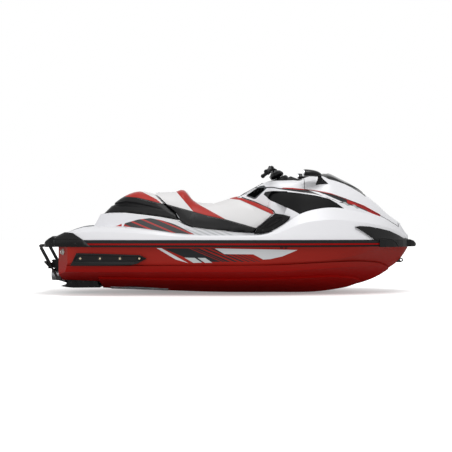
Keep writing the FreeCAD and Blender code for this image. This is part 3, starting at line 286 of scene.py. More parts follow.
class Finish:
    """A material built node by node. Constants go straight on the shader."""

    def __init__(self, name, base, **constants):
        self.material = bpy.data.materials.new(name)
        self.material.use_nodes = True
        self.tree = self.material.node_tree
        self.shader = self.tree.nodes["Principled BSDF"]
        self.shader.inputs["Base Color"].default_value = base
        names = {"rough": "Roughness", "metal": "Metallic", "gloss": "Specular IOR Level",
                 "coat": "Coat Weight", "coat_rough": "Coat Roughness", "glow": "Emission Strength"}
        for key, value in constants.items():
            self.shader.inputs[names[key]].default_value = value
        self.place = self.node("ShaderNodeTexCoord", output="Object")
        self.x = self.node("ShaderNodeSeparateXYZ", {}, {0: self.place}, 0)
        self.y = Signal(self, self.x.socket.node.outputs[1])
        self.z = Signal(self, self.x.socket.node.outputs[2])

    def node(self, kind, settings=None, inputs=None, output=0):
        """Adds a node: first its settings, then its sockets' links or values."""
        made = self.tree.nodes.new(kind)
        for key, value in (settings or {}).items():
            setattr(made, key, value)
        for key, value in (inputs or {}).items():
            self.feed(made.inputs[key], value)
        return Signal(self, made.outputs[output])

    def feed(self, socket, value):
        if isinstance(value, Signal):
            self.tree.links.new(value.socket, socket)
        else:
            socket.default_value = value

    def set(self, key, value):
        """Feeds one of the shader's sockets with a signal."""
        self.feed(self.shader.inputs[key], value)
        return self

    def mix(self, mask, low, high):
        """Colour low where the mask is 0 and high where it is 1."""
        return self.node("ShaderNodeMix", {"data_type": "RGBA"}, {0: mask, 6: low, 7: high}, 2)

    def line(self, points):
        """Height of a broken line over X. Outside its points it keeps its end values."""
        low, high = -2.0, 2.0
        curve = self.node("ShaderNodeFloatCurve", {}, {1: (self.x - low) / (high - low)})
        made = curve.socket.node
        path = made.mapping.curves[0]
        path.points[0].location = (0.0, points[0][1])
        path.points[1].location = (1.0, points[-1][1])
        for x, z in points:
            path.points.new((x - low) / (high - low), z)
        for point in path.points:
            point.handle_type = "VECTOR"
        made.mapping.update()
        return curve

    def beyond(self, start, end):
        """Distance to the left of the way from start to end, in the side view."""
        (x0, z0), (x1, z1) = start, end
        length = math.hypot(x1 - x0, z1 - z0)
        normal = (-(z1 - z0) / length, 0, (x1 - x0) / length)
        along = self.node("ShaderNodeVectorMath", {"operation": "DOT_PRODUCT"},
                          {0: self.place, 1: normal}, 1)
        return along - (normal[0] * x0 + normal[2] * z0)

    def patch(self, corners):
        """1 inside a convex outline of the side view. Its corners go round anticlockwise."""
        area = sum(a[0] * b[1] - b[0] * a[1] for a, b in zip(corners, corners[1:] + corners[:1]))
        if area < 0:
            corners = corners[::-1]
        least = None
        for start, end in zip(corners, corners[1:] + corners[:1]):
            distance = self.beyond(start, end)
            least = distance if least is None else least.least(distance)
        return least.inside()

    def patches(self, outlines):
        """1 inside any of the outlines."""
        mask = self.patch(outlines[0])
        for outline in outlines[1:]:
            mask = mask.most(self.patch(outline))
        return mask

    def noise(self, scale, detail=2.0, stretch=(1, 1, 1)):
        where = self.node("ShaderNodeMapping", {}, {0: self.place, 3: stretch})
        return self.node("ShaderNodeTexNoise", {}, {"Vector": where, "Scale": scale, "Detail": detail})

    def cells(self, scale):
        return self.node("ShaderNodeTexVoronoi", {"feature": "DISTANCE_TO_EDGE"},
                         {"Vector": self.place, "Scale": scale})

    def bump(self, height, strength, distance=0.001):
        """Raises the surface by a height signal, as light sees it."""
        made = self.node("ShaderNodeBump", {}, {"Strength": strength, "Distance": distance,
                                                 "Height": height})
        return self.set("Normal", made)


print("finish tools ready")

# %% [markdown]
# ## Gelcoat
# Hull, deck and hood are glossy moulded gelcoat. The stripes are part of the paint, so they are patches
# and lines of the side view. The gloss is kept low where the colour is dark: white surroundings
# reflected in a dark paint would wash it out.

# %% Gelcoat
WHITE = colour(224, 224, 227)
GREY = colour(168, 174, 174)
RED = colour(172, 34, 30)

hull_paint = Finish("red gelcoat", colour(134, 22, 15), rough=0.34, gloss=0.1)
hull_paint.set("Roughness", (-0.06 - hull_paint.z).inside(0.12) * 0.4 + 0.34)
# Above about z 0.02 the red is paler: a painted reflection of the white room on the glossy side. Below it
# is the paint's own deep red.
red_with_painted_reflection = hull_paint.mix((0.02 - hull_paint.z).inside(0.12), colour(150, 38, 30), colour(156, 10, 5))
LEAN = 2.34


def slanted(x_low, x_high, z_top, z_low):
    """Leaning bar of the side view, given by its foot."""
    lean = (z_top - z_low) * LEAN
    return [(x_low, z_low), (x_high, z_low), (x_high - lean, z_top), (x_low - lean, z_top)]


BAR_FEET = [(-0.354, -0.128), (-0.114, -0.088), (-0.080, -0.042), (-0.012, 0.020), (0.051, 0.080),
            (0.110, 0.129), (0.160, 0.177), (0.208, 0.221)]
dark_bars = [slanted(x_low, x_high, 0.181, 0.062) for x_low, x_high in BAR_FEET]
white_bars = [[(-0.688, 0.183), (-0.648, 0.183), (-0.412, 0.050), (-0.524, 0.084)],
              [(-0.182, 0.180), (0.542, 0.166), (0.152, 0.128), (-0.097, 0.130)],
              [(0.152, 0.129), (0.542, 0.166), (0.410, 0.110), (0.303, 0.086), (0.241, 0.082)]]
grey_bars = [[(-0.448, 0.100), (-0.355, 0.097), (-0.293, 0.055), (-0.368, 0.053)],
             [(-0.333, 0.097), (-0.266, 0.097), (-0.204, 0.055), (-0.266, 0.053)]]
side = (hull_paint.y.size() - 0.40).inside(0.02)
tone = hull_paint.mix(hull_paint.patches(dark_bars) * side, red_with_painted_reflection, colour(40, 42, 44))
tone = hull_paint.mix(hull_paint.patches(grey_bars) * side, tone, colour(190, 196, 196))
tone = hull_paint.mix(hull_paint.patches(white_bars) * side, tone, colour(204, 206, 208))
hull_paint.set("Base Color", tone)
hull_paint.bump(hull_paint.noise(3.0), 0.05, 0.003)

deck_paint = Finish("white gelcoat", WHITE, rough=0.3, gloss=0.35)
arc_top = deck_paint.line([(-1.012, 0.37), (-1.004, 0.399), (-0.880, 0.434), (-0.771, 0.447),
                           (-0.663, 0.426), (-0.571, 0.399), (-0.512, 0.374), (-0.414, 0.323),
                           (-0.360, 0.295)])
arc_low = deck_paint.line([(-1.004, 0.371), (-0.956, 0.366), (-0.836, 0.352), (-0.717, 0.336),
                           (-0.554, 0.312), (-0.425, 0.301), (-0.360, 0.299)])
on_pedestal = (0.30 - deck_paint.y.size()).inside(0.004)
arc = (arc_top - deck_paint.z).inside() * (deck_paint.z - arc_low).inside() * on_pedestal
slashes = [slanted(x, x + 0.034, 0.45, 0.29) for x in (-0.80, -0.66, -0.52, -0.38)]
ticks = [slanted(x, x + 0.032, 0.352, 0.290) for x in (-0.325, -0.250, -0.180, -0.115, -0.045)]
wedge = deck_paint.patch([(-1.085, 0.372), (-1.030, 0.372), (-1.030, 0.396)]) * on_pedestal
tone = deck_paint.mix(arc, WHITE, colour(34, 34, 36))
tone = deck_paint.mix(deck_paint.patches(slashes) * arc, tone, RED)
tone = deck_paint.mix(deck_paint.patches(ticks) * on_pedestal, tone, colour(198, 200, 202))
tone = deck_paint.mix(wedge, tone, RED)

DARK_TOP = [(0.34, 0.728), (0.356, 0.724), (0.430, 0.716), (0.508, 0.710), (0.707, 0.690), (0.799, 0.668),
            (0.866, 0.655), (0.960, 0.625), (1.051, 0.590), (1.120, 0.560)]
RED_TOP = [(0.41, 0.712), (0.430, 0.724), (0.509, 0.721), (0.707, 0.697), (0.799, 0.682), (0.866, 0.665),
           (0.960, 0.632), (1.051, 0.600), (1.162, 0.560), (1.342, 0.468), (1.380, 0.446)]
BAND_LOW = [(0.34, 0.721), (0.390, 0.711), (0.508, 0.691), (0.704, 0.663), (0.799, 0.637), (0.937, 0.585),
            (1.091, 0.546), (1.160, 0.518), (1.249, 0.484), (1.380, 0.440)]


def cowl_graphic(paint, base):
    """Red and dark band along the side of the nose, with light marks across it."""
    side = (paint.y.size() - 0.11).inside(0.01)
    above = (paint.z - paint.line(BAND_LOW)).inside() * side
    red = (paint.line(RED_TOP) - paint.z).inside() * above * (1.318 - paint.x).inside()
    dark = (paint.line(DARK_TOP) - paint.z).inside() * above * (1.0 - paint.x).inside()
    mark_tops = [(0.800, 0.705), (0.860, 0.685), (0.925, 0.660)]
    marks = [slanted(x, x + 0.034, z, z - 0.070) for x, z in mark_tops]
    shadow = (paint.line(BAND_LOW) + 0.010 - paint.z).inside() * above * (1.19 - paint.x).inside()
    greys = [[(0.957, 0.590), (0.985, 0.590), (1.028, 0.556), (1.000, 0.556)],
             [(1.046, 0.566), (1.070, 0.566), (1.114, 0.530), (1.090, 0.530)]]
    tone = paint.mix(red, base, colour(160, 26, 22))
    tone = paint.mix(dark.most(shadow), tone, colour(26, 26, 28))
    tone = paint.mix(paint.patches(marks) * dark, tone, WHITE)
    return paint.mix(paint.patches(greys) * side, tone, GREY)


deck_tone = cowl_graphic(deck_paint, tone)
on_side = (deck_paint.y.size() - 0.15).inside(0.004)
panel_tip = deck_paint.patch([(0.258, 0.662), (0.272, 0.684), (0.335, 0.694), (0.470, 0.690),
                              (0.470, 0.541), (0.314, 0.612)]) * on_side
vent_rim = deck_paint.patch([(0.078, 0.655), (0.178, 0.733), (0.262, 0.746), (0.290, 0.722),
                             (0.190, 0.624), (0.172, 0.620)])
vent_rim = vent_rim * on_side * (0.270 - deck_paint.y.size()).inside()
DASH_LOW = [(0.03, 0.600), (0.274, 0.735), (0.302, 0.768), (0.62, 0.782)]
DASH_HALF_WIDTH = [(0.0, 0.118), (0.290, 0.118), (0.330, 0.165), (0.62, 0.165)]
crown = (deck_paint.z - deck_paint.line(DASH_LOW)).inside()
crown = crown * (deck_paint.x - 0.030).inside() * (0.615 - deck_paint.x).inside()
crown = crown * (deck_paint.line(DASH_HALF_WIDTH) - deck_paint.y.size()).inside()
deck_tone = deck_paint.mix(vent_rim, deck_tone, colour(66, 68, 71))
deck_paint.set("Base Color", deck_paint.mix(crown.most(panel_tip), deck_tone, colour(20, 20, 21)))

hood_paint = Finish("hood gelcoat", WHITE, rough=0.28, gloss=0.35)
CROWN_LOW = [(0.700, 0.845), (0.799, 0.826), (0.844, 0.798), (0.917, 0.780), (0.990, 0.757), (1.063, 0.721),
             (1.140, 0.677), (1.190, 0.640)]
crown = (hood_paint.z - hood_paint.line(CROWN_LOW)).inside() * (hood_paint.x - 0.745).inside()
crown = crown * (1.19 - hood_paint.x).inside()
facing = hood_paint.node("ShaderNodeTexCoord", output="Normal")
facing_y = hood_paint.node("ShaderNodeSeparateXYZ", {}, {0: facing}, 1)
facing_z = hood_paint.node("ShaderNodeSeparateXYZ", {}, {0: facing}, 2)
outer = (facing_y * hood_paint.y + facing_z * (hood_paint.z - 0.30)).inside(0.01)
hood_tone = hood_paint.mix(crown, cowl_graphic(hood_paint, WHITE), colour(20, 20, 21))
hood_paint.set("Base Color", hood_paint.mix(outer, colour(188, 189, 192), hood_tone))
print("gelcoat ready")

# %% [markdown]
# ## Plastics, rubber and metals
# Moulded plastic has a fine grain, rubber is duller, and cast alloy is a little uneven.

# %% Plastics, rubber and metals
def grained(name, base, rough, gloss, scale=900.0, strength=0.25):
    made = Finish(name, base, rough=rough, gloss=gloss)
    made.bump(made.cells(scale), strength, 0.0004)
    made.set("Roughness", made.noise(24.0) * 0.12 + (rough - 0.06))
    return made


plastic = grained("black plastic", colour(11, 11, 12), 0.42, 0.14)
gloss_black = Finish("gloss black", colour(12, 12, 13), rough=0.2, gloss=0.25)
rubber = grained("guard rubber", colour(13, 13, 14), 0.40, 0.2, 500.0, 0.15)
moulding = grained("bumper moulding", colour(11, 11, 12), 0.26, 0.24, 500.0, 0.08)
rail_rubber = Finish("rail rubber", colour(30, 32, 34), rough=0.5, gloss=0.15)
# Painted sheen: the rail is grey above z 0.212. Below that the rubber has its own near-black colour.
rail_tone_with_painted_sheen = rail_rubber.mix((0.212 - rail_rubber.z).inside(0.004), colour(30, 32, 34), colour(8, 13, 14))
rail_rubber.set("Base Color", rail_tone_with_painted_sheen)
strip = Finish("red strip", colour(140, 10, 8), rough=0.4, gloss=0.08)
grey_film = Finish("grey film", colour(176, 178, 180), rough=0.3, gloss=0.3)

foam = Finish("deck foam", colour(128, 130, 133), rough=0.85, gloss=0.15)
foam.bump(foam.noise(420.0, 3.0), 0.5, 0.0006)
foam.set("Base Color", foam.mix(foam.noise(90.0), colour(118, 120, 123), colour(138, 140, 143)))

alloy = Finish("cast alloy", colour(150, 152, 155), rough=0.42, metal=1.0)
alloy.bump(alloy.noise(260.0, 3.0), 0.25, 0.0005)
alloy.set("Roughness", alloy.noise(30.0) * 0.2 + 0.34)

steel = Finish("stainless steel", colour(184, 182, 178), rough=0.26, metal=1.0)
steel.set("Roughness", steel.noise(60.0, 2.0, (1, 12, 12)) * 0.16 + 0.2)

coated = grained("black coated steel", colour(22, 22, 23), 0.38, 0.3, 1400.0, 0.12)
brass = Finish("sponson bolts", colour(150, 138, 116), rough=0.35, metal=1.0)
vent_dark = Finish("vent shadow", colour(3, 3, 3), rough=0.9, gloss=0.02)
mirror_glass = Finish("mirror glass", colour(225, 228, 230), rough=0.04, metal=1.0)
visor = Finish("smoked visor", colour(20, 21, 23), rough=0.08, gloss=0.5, coat=0.5, coat_rough=0.04)
screen = Finish("screen", colour(14, 17, 20), rough=0.1, gloss=0.5, coat=0.6)
block_paint = Finish("engine block", colour(96, 98, 102), rough=0.6, metal=0.4)
block_paint.bump(block_paint.noise(60.0), 0.4, 0.002)
thread = Finish("stitching", colour(150, 148, 146), rough=0.7, gloss=0.2)
print("plastics and metals ready")

# %% [markdown]
# ## Seat vinyl
# The covers are sewn from black, white and red vinyl. Lines over X part the panels: black below the
# first line, a red wedge on the rear seat, a red stripe behind the saddle and one along the top in front.

# %% Seat vinyl
SEAT_RED = colour(164, 46, 40)
BLACK_LINE = [(-1.024, 0.90), (-1.019, 0.646), (-0.890, 0.635), (-0.780, 0.608), (-0.670, 0.580),
              (-0.660, 0.583), (-0.385, 0.508), (-0.254, 0.471), (-0.088, 0.436), (0.177, 0.360),
              (0.380, 0.300)]
WEDGE_LINE = [(-1.019, 0.760), (-0.871, 0.697), (-0.725, 0.624), (-0.670, 0.580), (-0.665, 0.30)]
STRIPE_LINE = [(-0.560, 0.818), (-0.472, 0.711), (-0.393, 0.615), (-0.324, 0.567), (-0.088, 0.436),
               (0.020, 0.340)]
STRIPE_BACK = [(-0.548, 0.700), (-0.385, 0.510)]
TOP_STRIPE_LOW = [(-0.066, 0.90), (-0.058, 0.628), (0.042, 0.613), (0.181, 0.548), (0.337, 0.475)]

vinyl = Finish("marine vinyl", colour(38, 38, 40), rough=0.42, gloss=0.2)
wedge_mask = (vinyl.line(WEDGE_LINE) - vinyl.z).inside()
stripe_mask = (vinyl.line(STRIPE_LINE) - vinyl.z).inside() * vinyl.beyond(*STRIPE_BACK).inside()
top_mask = (vinyl.z - vinyl.line(TOP_STRIPE_LOW)).inside()
red_mask = wedge_mask.most(stripe_mask).most(top_mask)
black_mask = (vinyl.line(BLACK_LINE) - vinyl.z).inside()
tone = vinyl.mix(red_mask, colour(218, 217, 217), SEAT_RED)
tone = vinyl.mix(black_mask, tone, colour(15, 15, 16))
vinyl.set("Base Color", tone)
grain = vinyl.cells(520.0) * 0.6 + vinyl.noise(700.0) * 0.4
vinyl.bump(grain, 0.22, 0.0005)
vinyl.set("Roughness", vinyl.noise(14.0) * 0.12 + 0.36)
print("seat vinyl ready")

# %% [markdown]
# ## Painting the CAD nodes
# Each node gets the finish listed for it by name. What isn't listed is black plastic.

# %% Painting the CAD nodes
PAINT = {"hull": hull_paint, "deck": deck_paint, "hood": hood_paint, "glovebox_lid": gloss_black,
         "hood_visor": visor, "mirrors": gloss_black, "mirror_glass": mirror_glass,
         "gauge_pod": gloss_black, "bow_bumper": moulding, "stern_bumper_starboard": moulding,
         "stern_bumper_port": moulding, "rub_rail_starboard": rail_rubber, "rub_rail_port": rail_rubber,
         "rail_stripe_starboard": strip, "rail_stripe_port": strip, "deck_mats": foam,
         "pump_housing": alloy, "jet_nozzle": alloy, "intake_grate": alloy, "impeller": steel,
         "sponson_bolts": brass, "bow_eye": coated, "stern_eyes": steel, "engine": block_paint,
         "handlebar": coated, "steering_stem": coated, "boarding_step": coated, "step_bracket": coated,
         "front_seat": vinyl, "rear_seat": vinyl, "grips": rubber, "console_vents": vent_dark}
for name, node in nodes.items():
    finish = PAINT.get(name, plastic)
    node.data.materials.clear()
    node.data.materials.append(finish.material)
print(len(nodes), "nodes painted")

# %% [markdown]
# ## Soft edges
# A moulded or cast piece has no knife edges, and it is the thin highlight along a rounded edge that lets
# the eye read its form. Weld joins the loose triangles of a CAD mesh, and Bevel rounds what is sharper
# than its angle.

# %% Soft edges
SOFT = {"bow_bumper": 0.006, "stern_bumper_starboard": 0.006, "stern_bumper_port": 0.006,
        "sponson_starboard": 0.004, "sponson_port": 0.004, "knee_trim_starboard": 0.003,
        "knee_trim_port": 0.003, "bar_pad": 0.006, "gauge_pod": 0.004, "ride_plate": 0.003,
        "step_bracket": 0.002, "step_tread": 0.003, "reverse_bucket": 0.002}
for name, width in SOFT.items():
    weld = nodes[name].modifiers.new("weld", "WELD")
    weld.merge_threshold = 0.0001
    rounding = nodes[name].modifiers.new("soft edges", "BEVEL")
    rounding.width = width
    rounding.segments = 2
    rounding.limit_method = "ANGLE"
    rounding.angle_limit = math.radians(35)
print(len(SOFT), "nodes with soft edges")

# %% [markdown]
# ## Padded seats
# A seat starts as a copy of its CAD node, remeshed into even squares and shrunk a little. Blown up from
# inside as cloth, it swells like foam under a tight cover. The underside is held, and no point may move
# further than SWELL. Seams and the fold along the rear cushion are pressed in afterwards, where the
# sewing would hold the cover down.

# %% Padded seats
VOXEL = 0.0095
SHRINK = 0.0045
SWELL = 0.0052
NOTCH_TOP = [(-1.150, 0.580), (-1.093, 0.587), (-0.995, 0.601), (-0.885, 0.587), (-0.776, 0.560),
             (-0.612, 0.512)]
NOTCH_LOW = [(-1.150, 0.560), (-1.109, 0.560), (-1.087, 0.549), (-0.995, 0.552), (-0.885, 0.543),
             (-0.792, 0.541), (-0.612, 0.511)]
NOTCH_BACK, NOTCH_FRONT = -1.16, -0.612
NOTCH_DEPTH = 0.030


def height_over(points, x):
    """Height of a broken line of the side view over many places x."""
    return np.interp(x, [p[0] for p in points], [p[1] for p in points])


def distance_to(line, x, z):
    """Distance of many points to a broken line in the side view."""
    best = np.full(len(x), 9.0)
    for (x0, z0), (x1, z1) in zip(line, line[1:]):
        along = ((x - x0) * (x1 - x0) + (z - z0) * (z1 - z0)) / ((x1 - x0) ** 2 + (z1 - z0) ** 2)
        along = np.clip(along, 0, 1)
        best = np.minimum(best, np.hypot(x - x0 - along * (x1 - x0), z - z0 - along * (z1 - z0)))
    return best


def rows_of(piece, key):
    """The places ("co") or normals ("normal") of a piece's points, one in a row."""
    out = np.empty(len(piece.data.vertices) * 3)
    piece.data.vertices.foreach_get(key, out)
    return out.reshape(-1, 3)


def moved_to(piece, places):
    """Moves a piece's points to new places."""
    piece.data.vertices.foreach_set("co", places.ravel())
    piece.data.update()


def evened(name, source):
    """Copy of a node as an even net of squares, a little smaller than the node."""
    piece = copied(nodes[source], name)
    piece.parent = None
    edit(piece)
    bpy.ops.mesh.select_all(action="SELECT")
    bpy.ops.mesh.remove_doubles(threshold=0.0002)
    only(piece)
    net = piece.modifiers.new("net", "REMESH")
    net.mode = "VOXEL"
    net.voxel_size = VOXEL
    bpy.ops.object.modifier_apply(modifier=net.name)
    edit(piece)
    bpy.ops.mesh.select_all(action="SELECT")
    bpy.ops.mesh.vertices_smooth(factor=0.5, repeat=3)
    bpy.ops.transform.shrink_fatten(value=-SHRINK)
    only(piece)
    return piece


def swollen(piece):
    """Blows the piece up as cloth under pressure, then keeps each point within its reach."""
    start, normals = rows_of(piece, "co"), rows_of(piece, "normal")
    held = piece.vertex_groups.new(name="held")
    held.add([int(i) for i in np.nonzero(normals[:, 2] < -0.35)[0]], 1.0, "REPLACE")
    cloth = piece.modifiers.new("swelling", "CLOTH")
    cloth.settings.quality = 4
    cloth.settings.use_pressure = True
    cloth.settings.uniform_pressure_force = 4.0
    cloth.settings.vertex_group_mass = "held"
    cloth.settings.tension_stiffness = 25
    cloth.settings.compression_stiffness = 25
    cloth.settings.effector_weights.gravity = 0.0
    last = 20
    cloth.point_cache.frame_end = last
    scene = bpy.context.scene
    for number in range(1, last + 1):
        scene.frame_set(number)
    only(piece)
    bpy.ops.object.modifier_apply(modifier=cloth.name)
    scene.frame_set(1)
    step = rows_of(piece, "co") - start
    reach = np.linalg.norm(step, axis=1, keepdims=True)
    moved_to(piece, start + step * np.minimum(1, SWELL / np.maximum(reach, 1e-9)))
    print(piece.name, "swelled by", round(float(reach.mean()) * 1000, 1), "mm on average")


def cushion(name, source, seams, notch=False):
    """A finished padded seat with its seams pressed in."""
    piece = evened(name, source)
    swollen(piece)
    fine = piece.modifiers.new("finer", "SUBSURF")
    fine.levels = 1
    only(piece)
    bpy.ops.object.modifier_apply(modifier=fine.name)
    places, normals = rows_of(piece, "co"), rows_of(piece, "normal")
    x, z = places[:, 0], places[:, 2]
    depth = np.zeros(len(x))
    for line, deep, wide in seams:
        depth = np.maximum(depth, deep * np.exp(-(distance_to(line, x, z) / wide) ** 2))
    moved = places - normals * depth[:, None]
    if notch:
        top, low = height_over(NOTCH_TOP, x), height_over(NOTCH_LOW, x)
        middle, half = (top + low) / 2, np.maximum((top - low) / 2, 0.001)
        across = np.clip(1 - np.abs(z - middle) / half, 0, 1)
        run = np.clip((x - NOTCH_BACK) / 0.05, 0, 1) * np.clip((NOTCH_FRONT - x) / 0.45, 0, 1)
        sink = NOTCH_DEPTH * np.sqrt(across) * run
        outward = normals * np.array([1.0, 1.0, 0.0])
        moved -= outward * sink[:, None]
    moved_to(piece, moved)
    return piece


WELTS = [(BLACK_LINE[1:], 0.0022, 0.004), (STRIPE_LINE[1:5], 0.0016, 0.0035),
         ([(-0.538, 0.689), (-0.385, 0.510)], 0.0016, 0.0035), (TOP_STRIPE_LOW[1:], 0.0016, 0.0035)]
REAR_WELTS = [(BLACK_LINE[1:5], 0.0022, 0.004), (WEDGE_LINE[1:4], 0.0018, 0.0035)]
front = cushion("front_cushion", "front_seat", WELTS)
rear = cushion("rear_cushion", "rear_seat", REAR_WELTS, notch=True)
for piece, source in ((front, "front_seat"), (rear, "rear_seat")):
    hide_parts(source)
    done(piece, vinyl.material, "craft", 80)
    print(piece.name, len(piece.data.polygons), "faces")

# %% [markdown]
# ## Seams of the seats
# Rows of stitches follow the welts: thin threads laid on the cover where rays from the side meet it.
# Light piping edges two of the panels. Where the front seat meets the deck, a dark rubber tube stands in
# for the shade in the gap between them.

# %% Seams of the seats
front_skin, rear_skin = surface(front), surface(rear)


def stitched(name, tree, lines, offset):
    """Dashed thread along lines of the side view, on both sides of the seat."""
    dashes = []
    for side in (-1, 1):
        for line in lines:
            shifted = [(x, z + offset) for x, z in line]
            path = traced(tree, shifted, side, 0.0002)
            for k in range(len(path) - 1):
                if (path[k + 1] - path[k]).length < 0.03:
                    end = path[k].lerp(path[k + 1], 0.62)
                    dashes.append(tube("dash", [path[k], end], 0.0007, sides=1))
    return done(joined(name, dashes), thread.material, "craft")


stitched("front_stitching", front_skin, [STRIPE_LINE[1:5], [(-0.640, 0.578), (-0.385, 0.508)],
                                         [(-0.254, 0.471), (-0.088, 0.436), (0.150, 0.368)]], -0.009)
stitched("rear_stitching", rear_skin, [BLACK_LINE[2:5]], -0.009)

PIPING = [([(-0.645, 0.590), (-0.632, 0.576), (-0.535, 0.490), (-0.508, 0.446)], 0.0005, 0.0028),
          (TOP_STRIPE_LOW[2:], 0.0004, 0.0018)]
pipes = []
for points, lift, radius in PIPING:
    for side in (-1, 1):
        pipes.append(tube("pipe", traced(front_skin, points, side, lift), radius))
done(joined("seat_piping", pipes), grey_film.material, "craft")

# Painted shade: a dark tube along the gap between the front seat and the deck.
GAP_SHADE_LINE = [(0.062, 0.637), (0.181, 0.594), (0.303, 0.537), (0.345, 0.512), (0.360, 0.486)]
deck_skin = surface(nodes["deck"])
gap_shade_tubes = [tube("gap_shade_tube", traced(deck_skin, GAP_SHADE_LINE, side, 0.001), 0.0045) for side in (-1, 1)]
done(joined("seat_gap_shade", gap_shade_tubes), rubber.material, "craft")
print("seams on the seats")

# %% [markdown]
# ## Grips
# Each grip is turned on the lathe: a thumb flange, a row of shallow ribs and a thick end. It replaces
# the plain CAD grip, which stays for collision.

# %% Grips
GRIP_START = Vector((0.318, -0.276, 0.890))
GRIP_END = Vector((0.272, -0.395, 0.858))
length = (GRIP_END - GRIP_START).length
profile = [(0.0005, 0.0225), (0.005, 0.0240), (0.007, 0.0180)]
ribs = 17
for k in range(ribs):
    at = 0.010 + k * (length - 0.028) / ribs
    profile += [(at, 0.0158), (at + 0.0012, 0.0170), (at + 0.0036, 0.0170), (at + 0.0048, 0.0158)]
profile += [(length - 0.014, 0.0160), (length - 0.010, 0.0200), (length - 0.003, 0.0205),
            (length - 0.0005, 0.0180)]
grip = aimed(turned("grip_starboard", profile, 32), GRIP_START, GRIP_END - GRIP_START)
other = port_side(grip, "grip_port")
for piece in (grip, other):
    done(piece, rubber.material, "steering")
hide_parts("grips")
print("grips with", ribs, "ribs")

# %% [markdown]
# ## Screws
# One screw is modelled once: a low head with a rounded rim and a socket. Copies with their own mesh
# hold the trim, each laid on the surface by a ray and turned to its normal. The bolts of the pump stand
# in a circle on its two flanges, and rings with sloped sides go round the bolts of the sponsons.

# %% Screws
screw = turned("screw", [(-0.004, 0.0040), (-0.0005, 0.0040), (0.0, 0.0068), (0.0016, 0.0066),
                         (0.0026, 0.0054), (0.0026, 0.0030), (0.0012, 0.0027)], 20)


def screws(name, places, finish, size, both=True):
    """Copies of the screw at (place, axis), and on the other side too."""
    made = []
    for place, axis in places:
        one = copied(screw, "one")
        one.data.transform(Matrix.Scale(size, 4))
        made.append(aimed(one, place, axis))
        if both:
            made.append(port_side(made[-1], "two"))
    return done(joined(name, made), finish.material, "craft")


def side_spots(node, spots):
    """Places on a node's starboard side, as seen from the side."""
    tree = surface(nodes[node])
    return [land(tree, (x, -1.5, z), (0, 1, 0)) for x, z in spots]


TRIM_SCREWS = [("knee_trim_screws", "knee_trim_starboard", 0.9,
                [(0.426, 0.425), (0.338, 0.352), (0.246, 0.338)]),
               ("stern_bumper_screws", "stern_bumper_starboard", 0.9,
                [(-1.608, 0.222), (-1.399, 0.222)]),
               ("ride_plate_screws", "ride_plate", 1.1,
                [(-1.500, -0.140), (-1.390, -0.136), (-1.285, -0.136)])]
for name, node, size, spots in TRIM_SCREWS:
    screws(name, side_spots(node, spots), coated, size)

FLANGE_XS = (-1.477, -1.251)
FLANGE_R = 0.094
FLANGE_BOLTS = 10
SHAFT_Z = -0.075
LOWEST_BOLT_Z = -0.155
flange = []
for x in FLANGE_XS:
    for k in range(FLANGE_BOLTS):
        a = math.radians(360 * (k + 0.5) / FLANGE_BOLTS)
        place = (x, FLANGE_R * math.sin(a), SHAFT_Z + FLANGE_R * math.cos(a))
        if place[2] > LOWEST_BOLT_Z:
            flange.append((place, (-1, 0, 0)))
screws("pump_flange_bolts", flange, steel, 1.1, both=False)
bpy.data.objects.remove(screw)

SPONSON_BOLT_XS = (-1.351, -1.180, -1.006, -0.838)
SPONSON_BOLT_Z = 0.092
RING_RAY_Z = 0.112
ring = turned("ring", [(-0.001, 0.0125), (0.0025, 0.0135), (0.0025, 0.0180), (-0.001, 0.0195)], 28)
rings = []
for place, normal in side_spots("sponson_starboard", [(x, RING_RAY_Z) for x in SPONSON_BOLT_XS]):
    rings.append(aimed(copied(ring, "ring"), Vector((place.x, place.y, SPONSON_BOLT_Z)), normal))
    rings.append(port_side(rings[-1], "ring"))
bpy.data.objects.remove(ring)
done(joined("bolt_rings", rings), gloss_black.material, "craft")
print("screws and rings placed")

# %% [markdown]
# ## Beads on the bumpers
# The bumpers are moulded in two levels, with a rounded bead where the upper one meets the lower. A bead is
# a bar laid along the surface. The pocket in the knee trim gets such a lip too.

# %% Beads on the bumpers
BEADS = {"bow_bumper": [(1.236, 0.262), (1.330, 0.264), (1.400, 0.259), (1.446, 0.236), (1.474, 0.200)],
         "stern_bumper_starboard": [(-1.590, 0.262), (-1.480, 0.262), (-1.352, 0.257)],
         "knee_trim_starboard": [(0.258, 0.358), (0.300, 0.372), (0.345, 0.394), (0.420, 0.446)]}
beads = []
for name, points in BEADS.items():
    beads.append(tube("bead", traced(surface(nodes[name]), points), 0.0045))
    beads.append(port_side(beads[-1], "bead"))
done(joined("bumper_beads", beads), moulding.material, "craft")
print(len(beads) // 2, "beads on each side")

# %% [markdown]
# ## Sleeves of the boarding step
# A swimmer grips the arms of the step, so foam sleeves with rounded ends cover them.

# %% Sleeves of the boarding step
STEP_LOW = Vector((-1.612, -0.225, -0.100))
STEP_HIGH = Vector((-1.772, -0.225, 0.196))
SLEEVE_R = 0.0150
arm = STEP_HIGH - STEP_LOW
start, end = 0.125, arm.length - 0.018
sleeve = turned("step_sleeve", [(start, 0.0105), (start + 0.002, 0.0140), (start + 0.007, SLEEVE_R),
                                (end - 0.008, SLEEVE_R), (end - 0.002, 0.0140), (end, 0.0105)])
sleeve = aimed(sleeve, STEP_LOW, arm)
done(joined("step_sleeves", [sleeve, port_side(sleeve, "other")]), rubber.material, "step")
print("sleeves", round((end - start) * 1000), "mm long")

# %% [markdown]
# ## Floor mats
# The foam mats have lengthwise ridges for grip. One ridge is a long rounded bar, repeated by an Array
# modifier that is then applied.

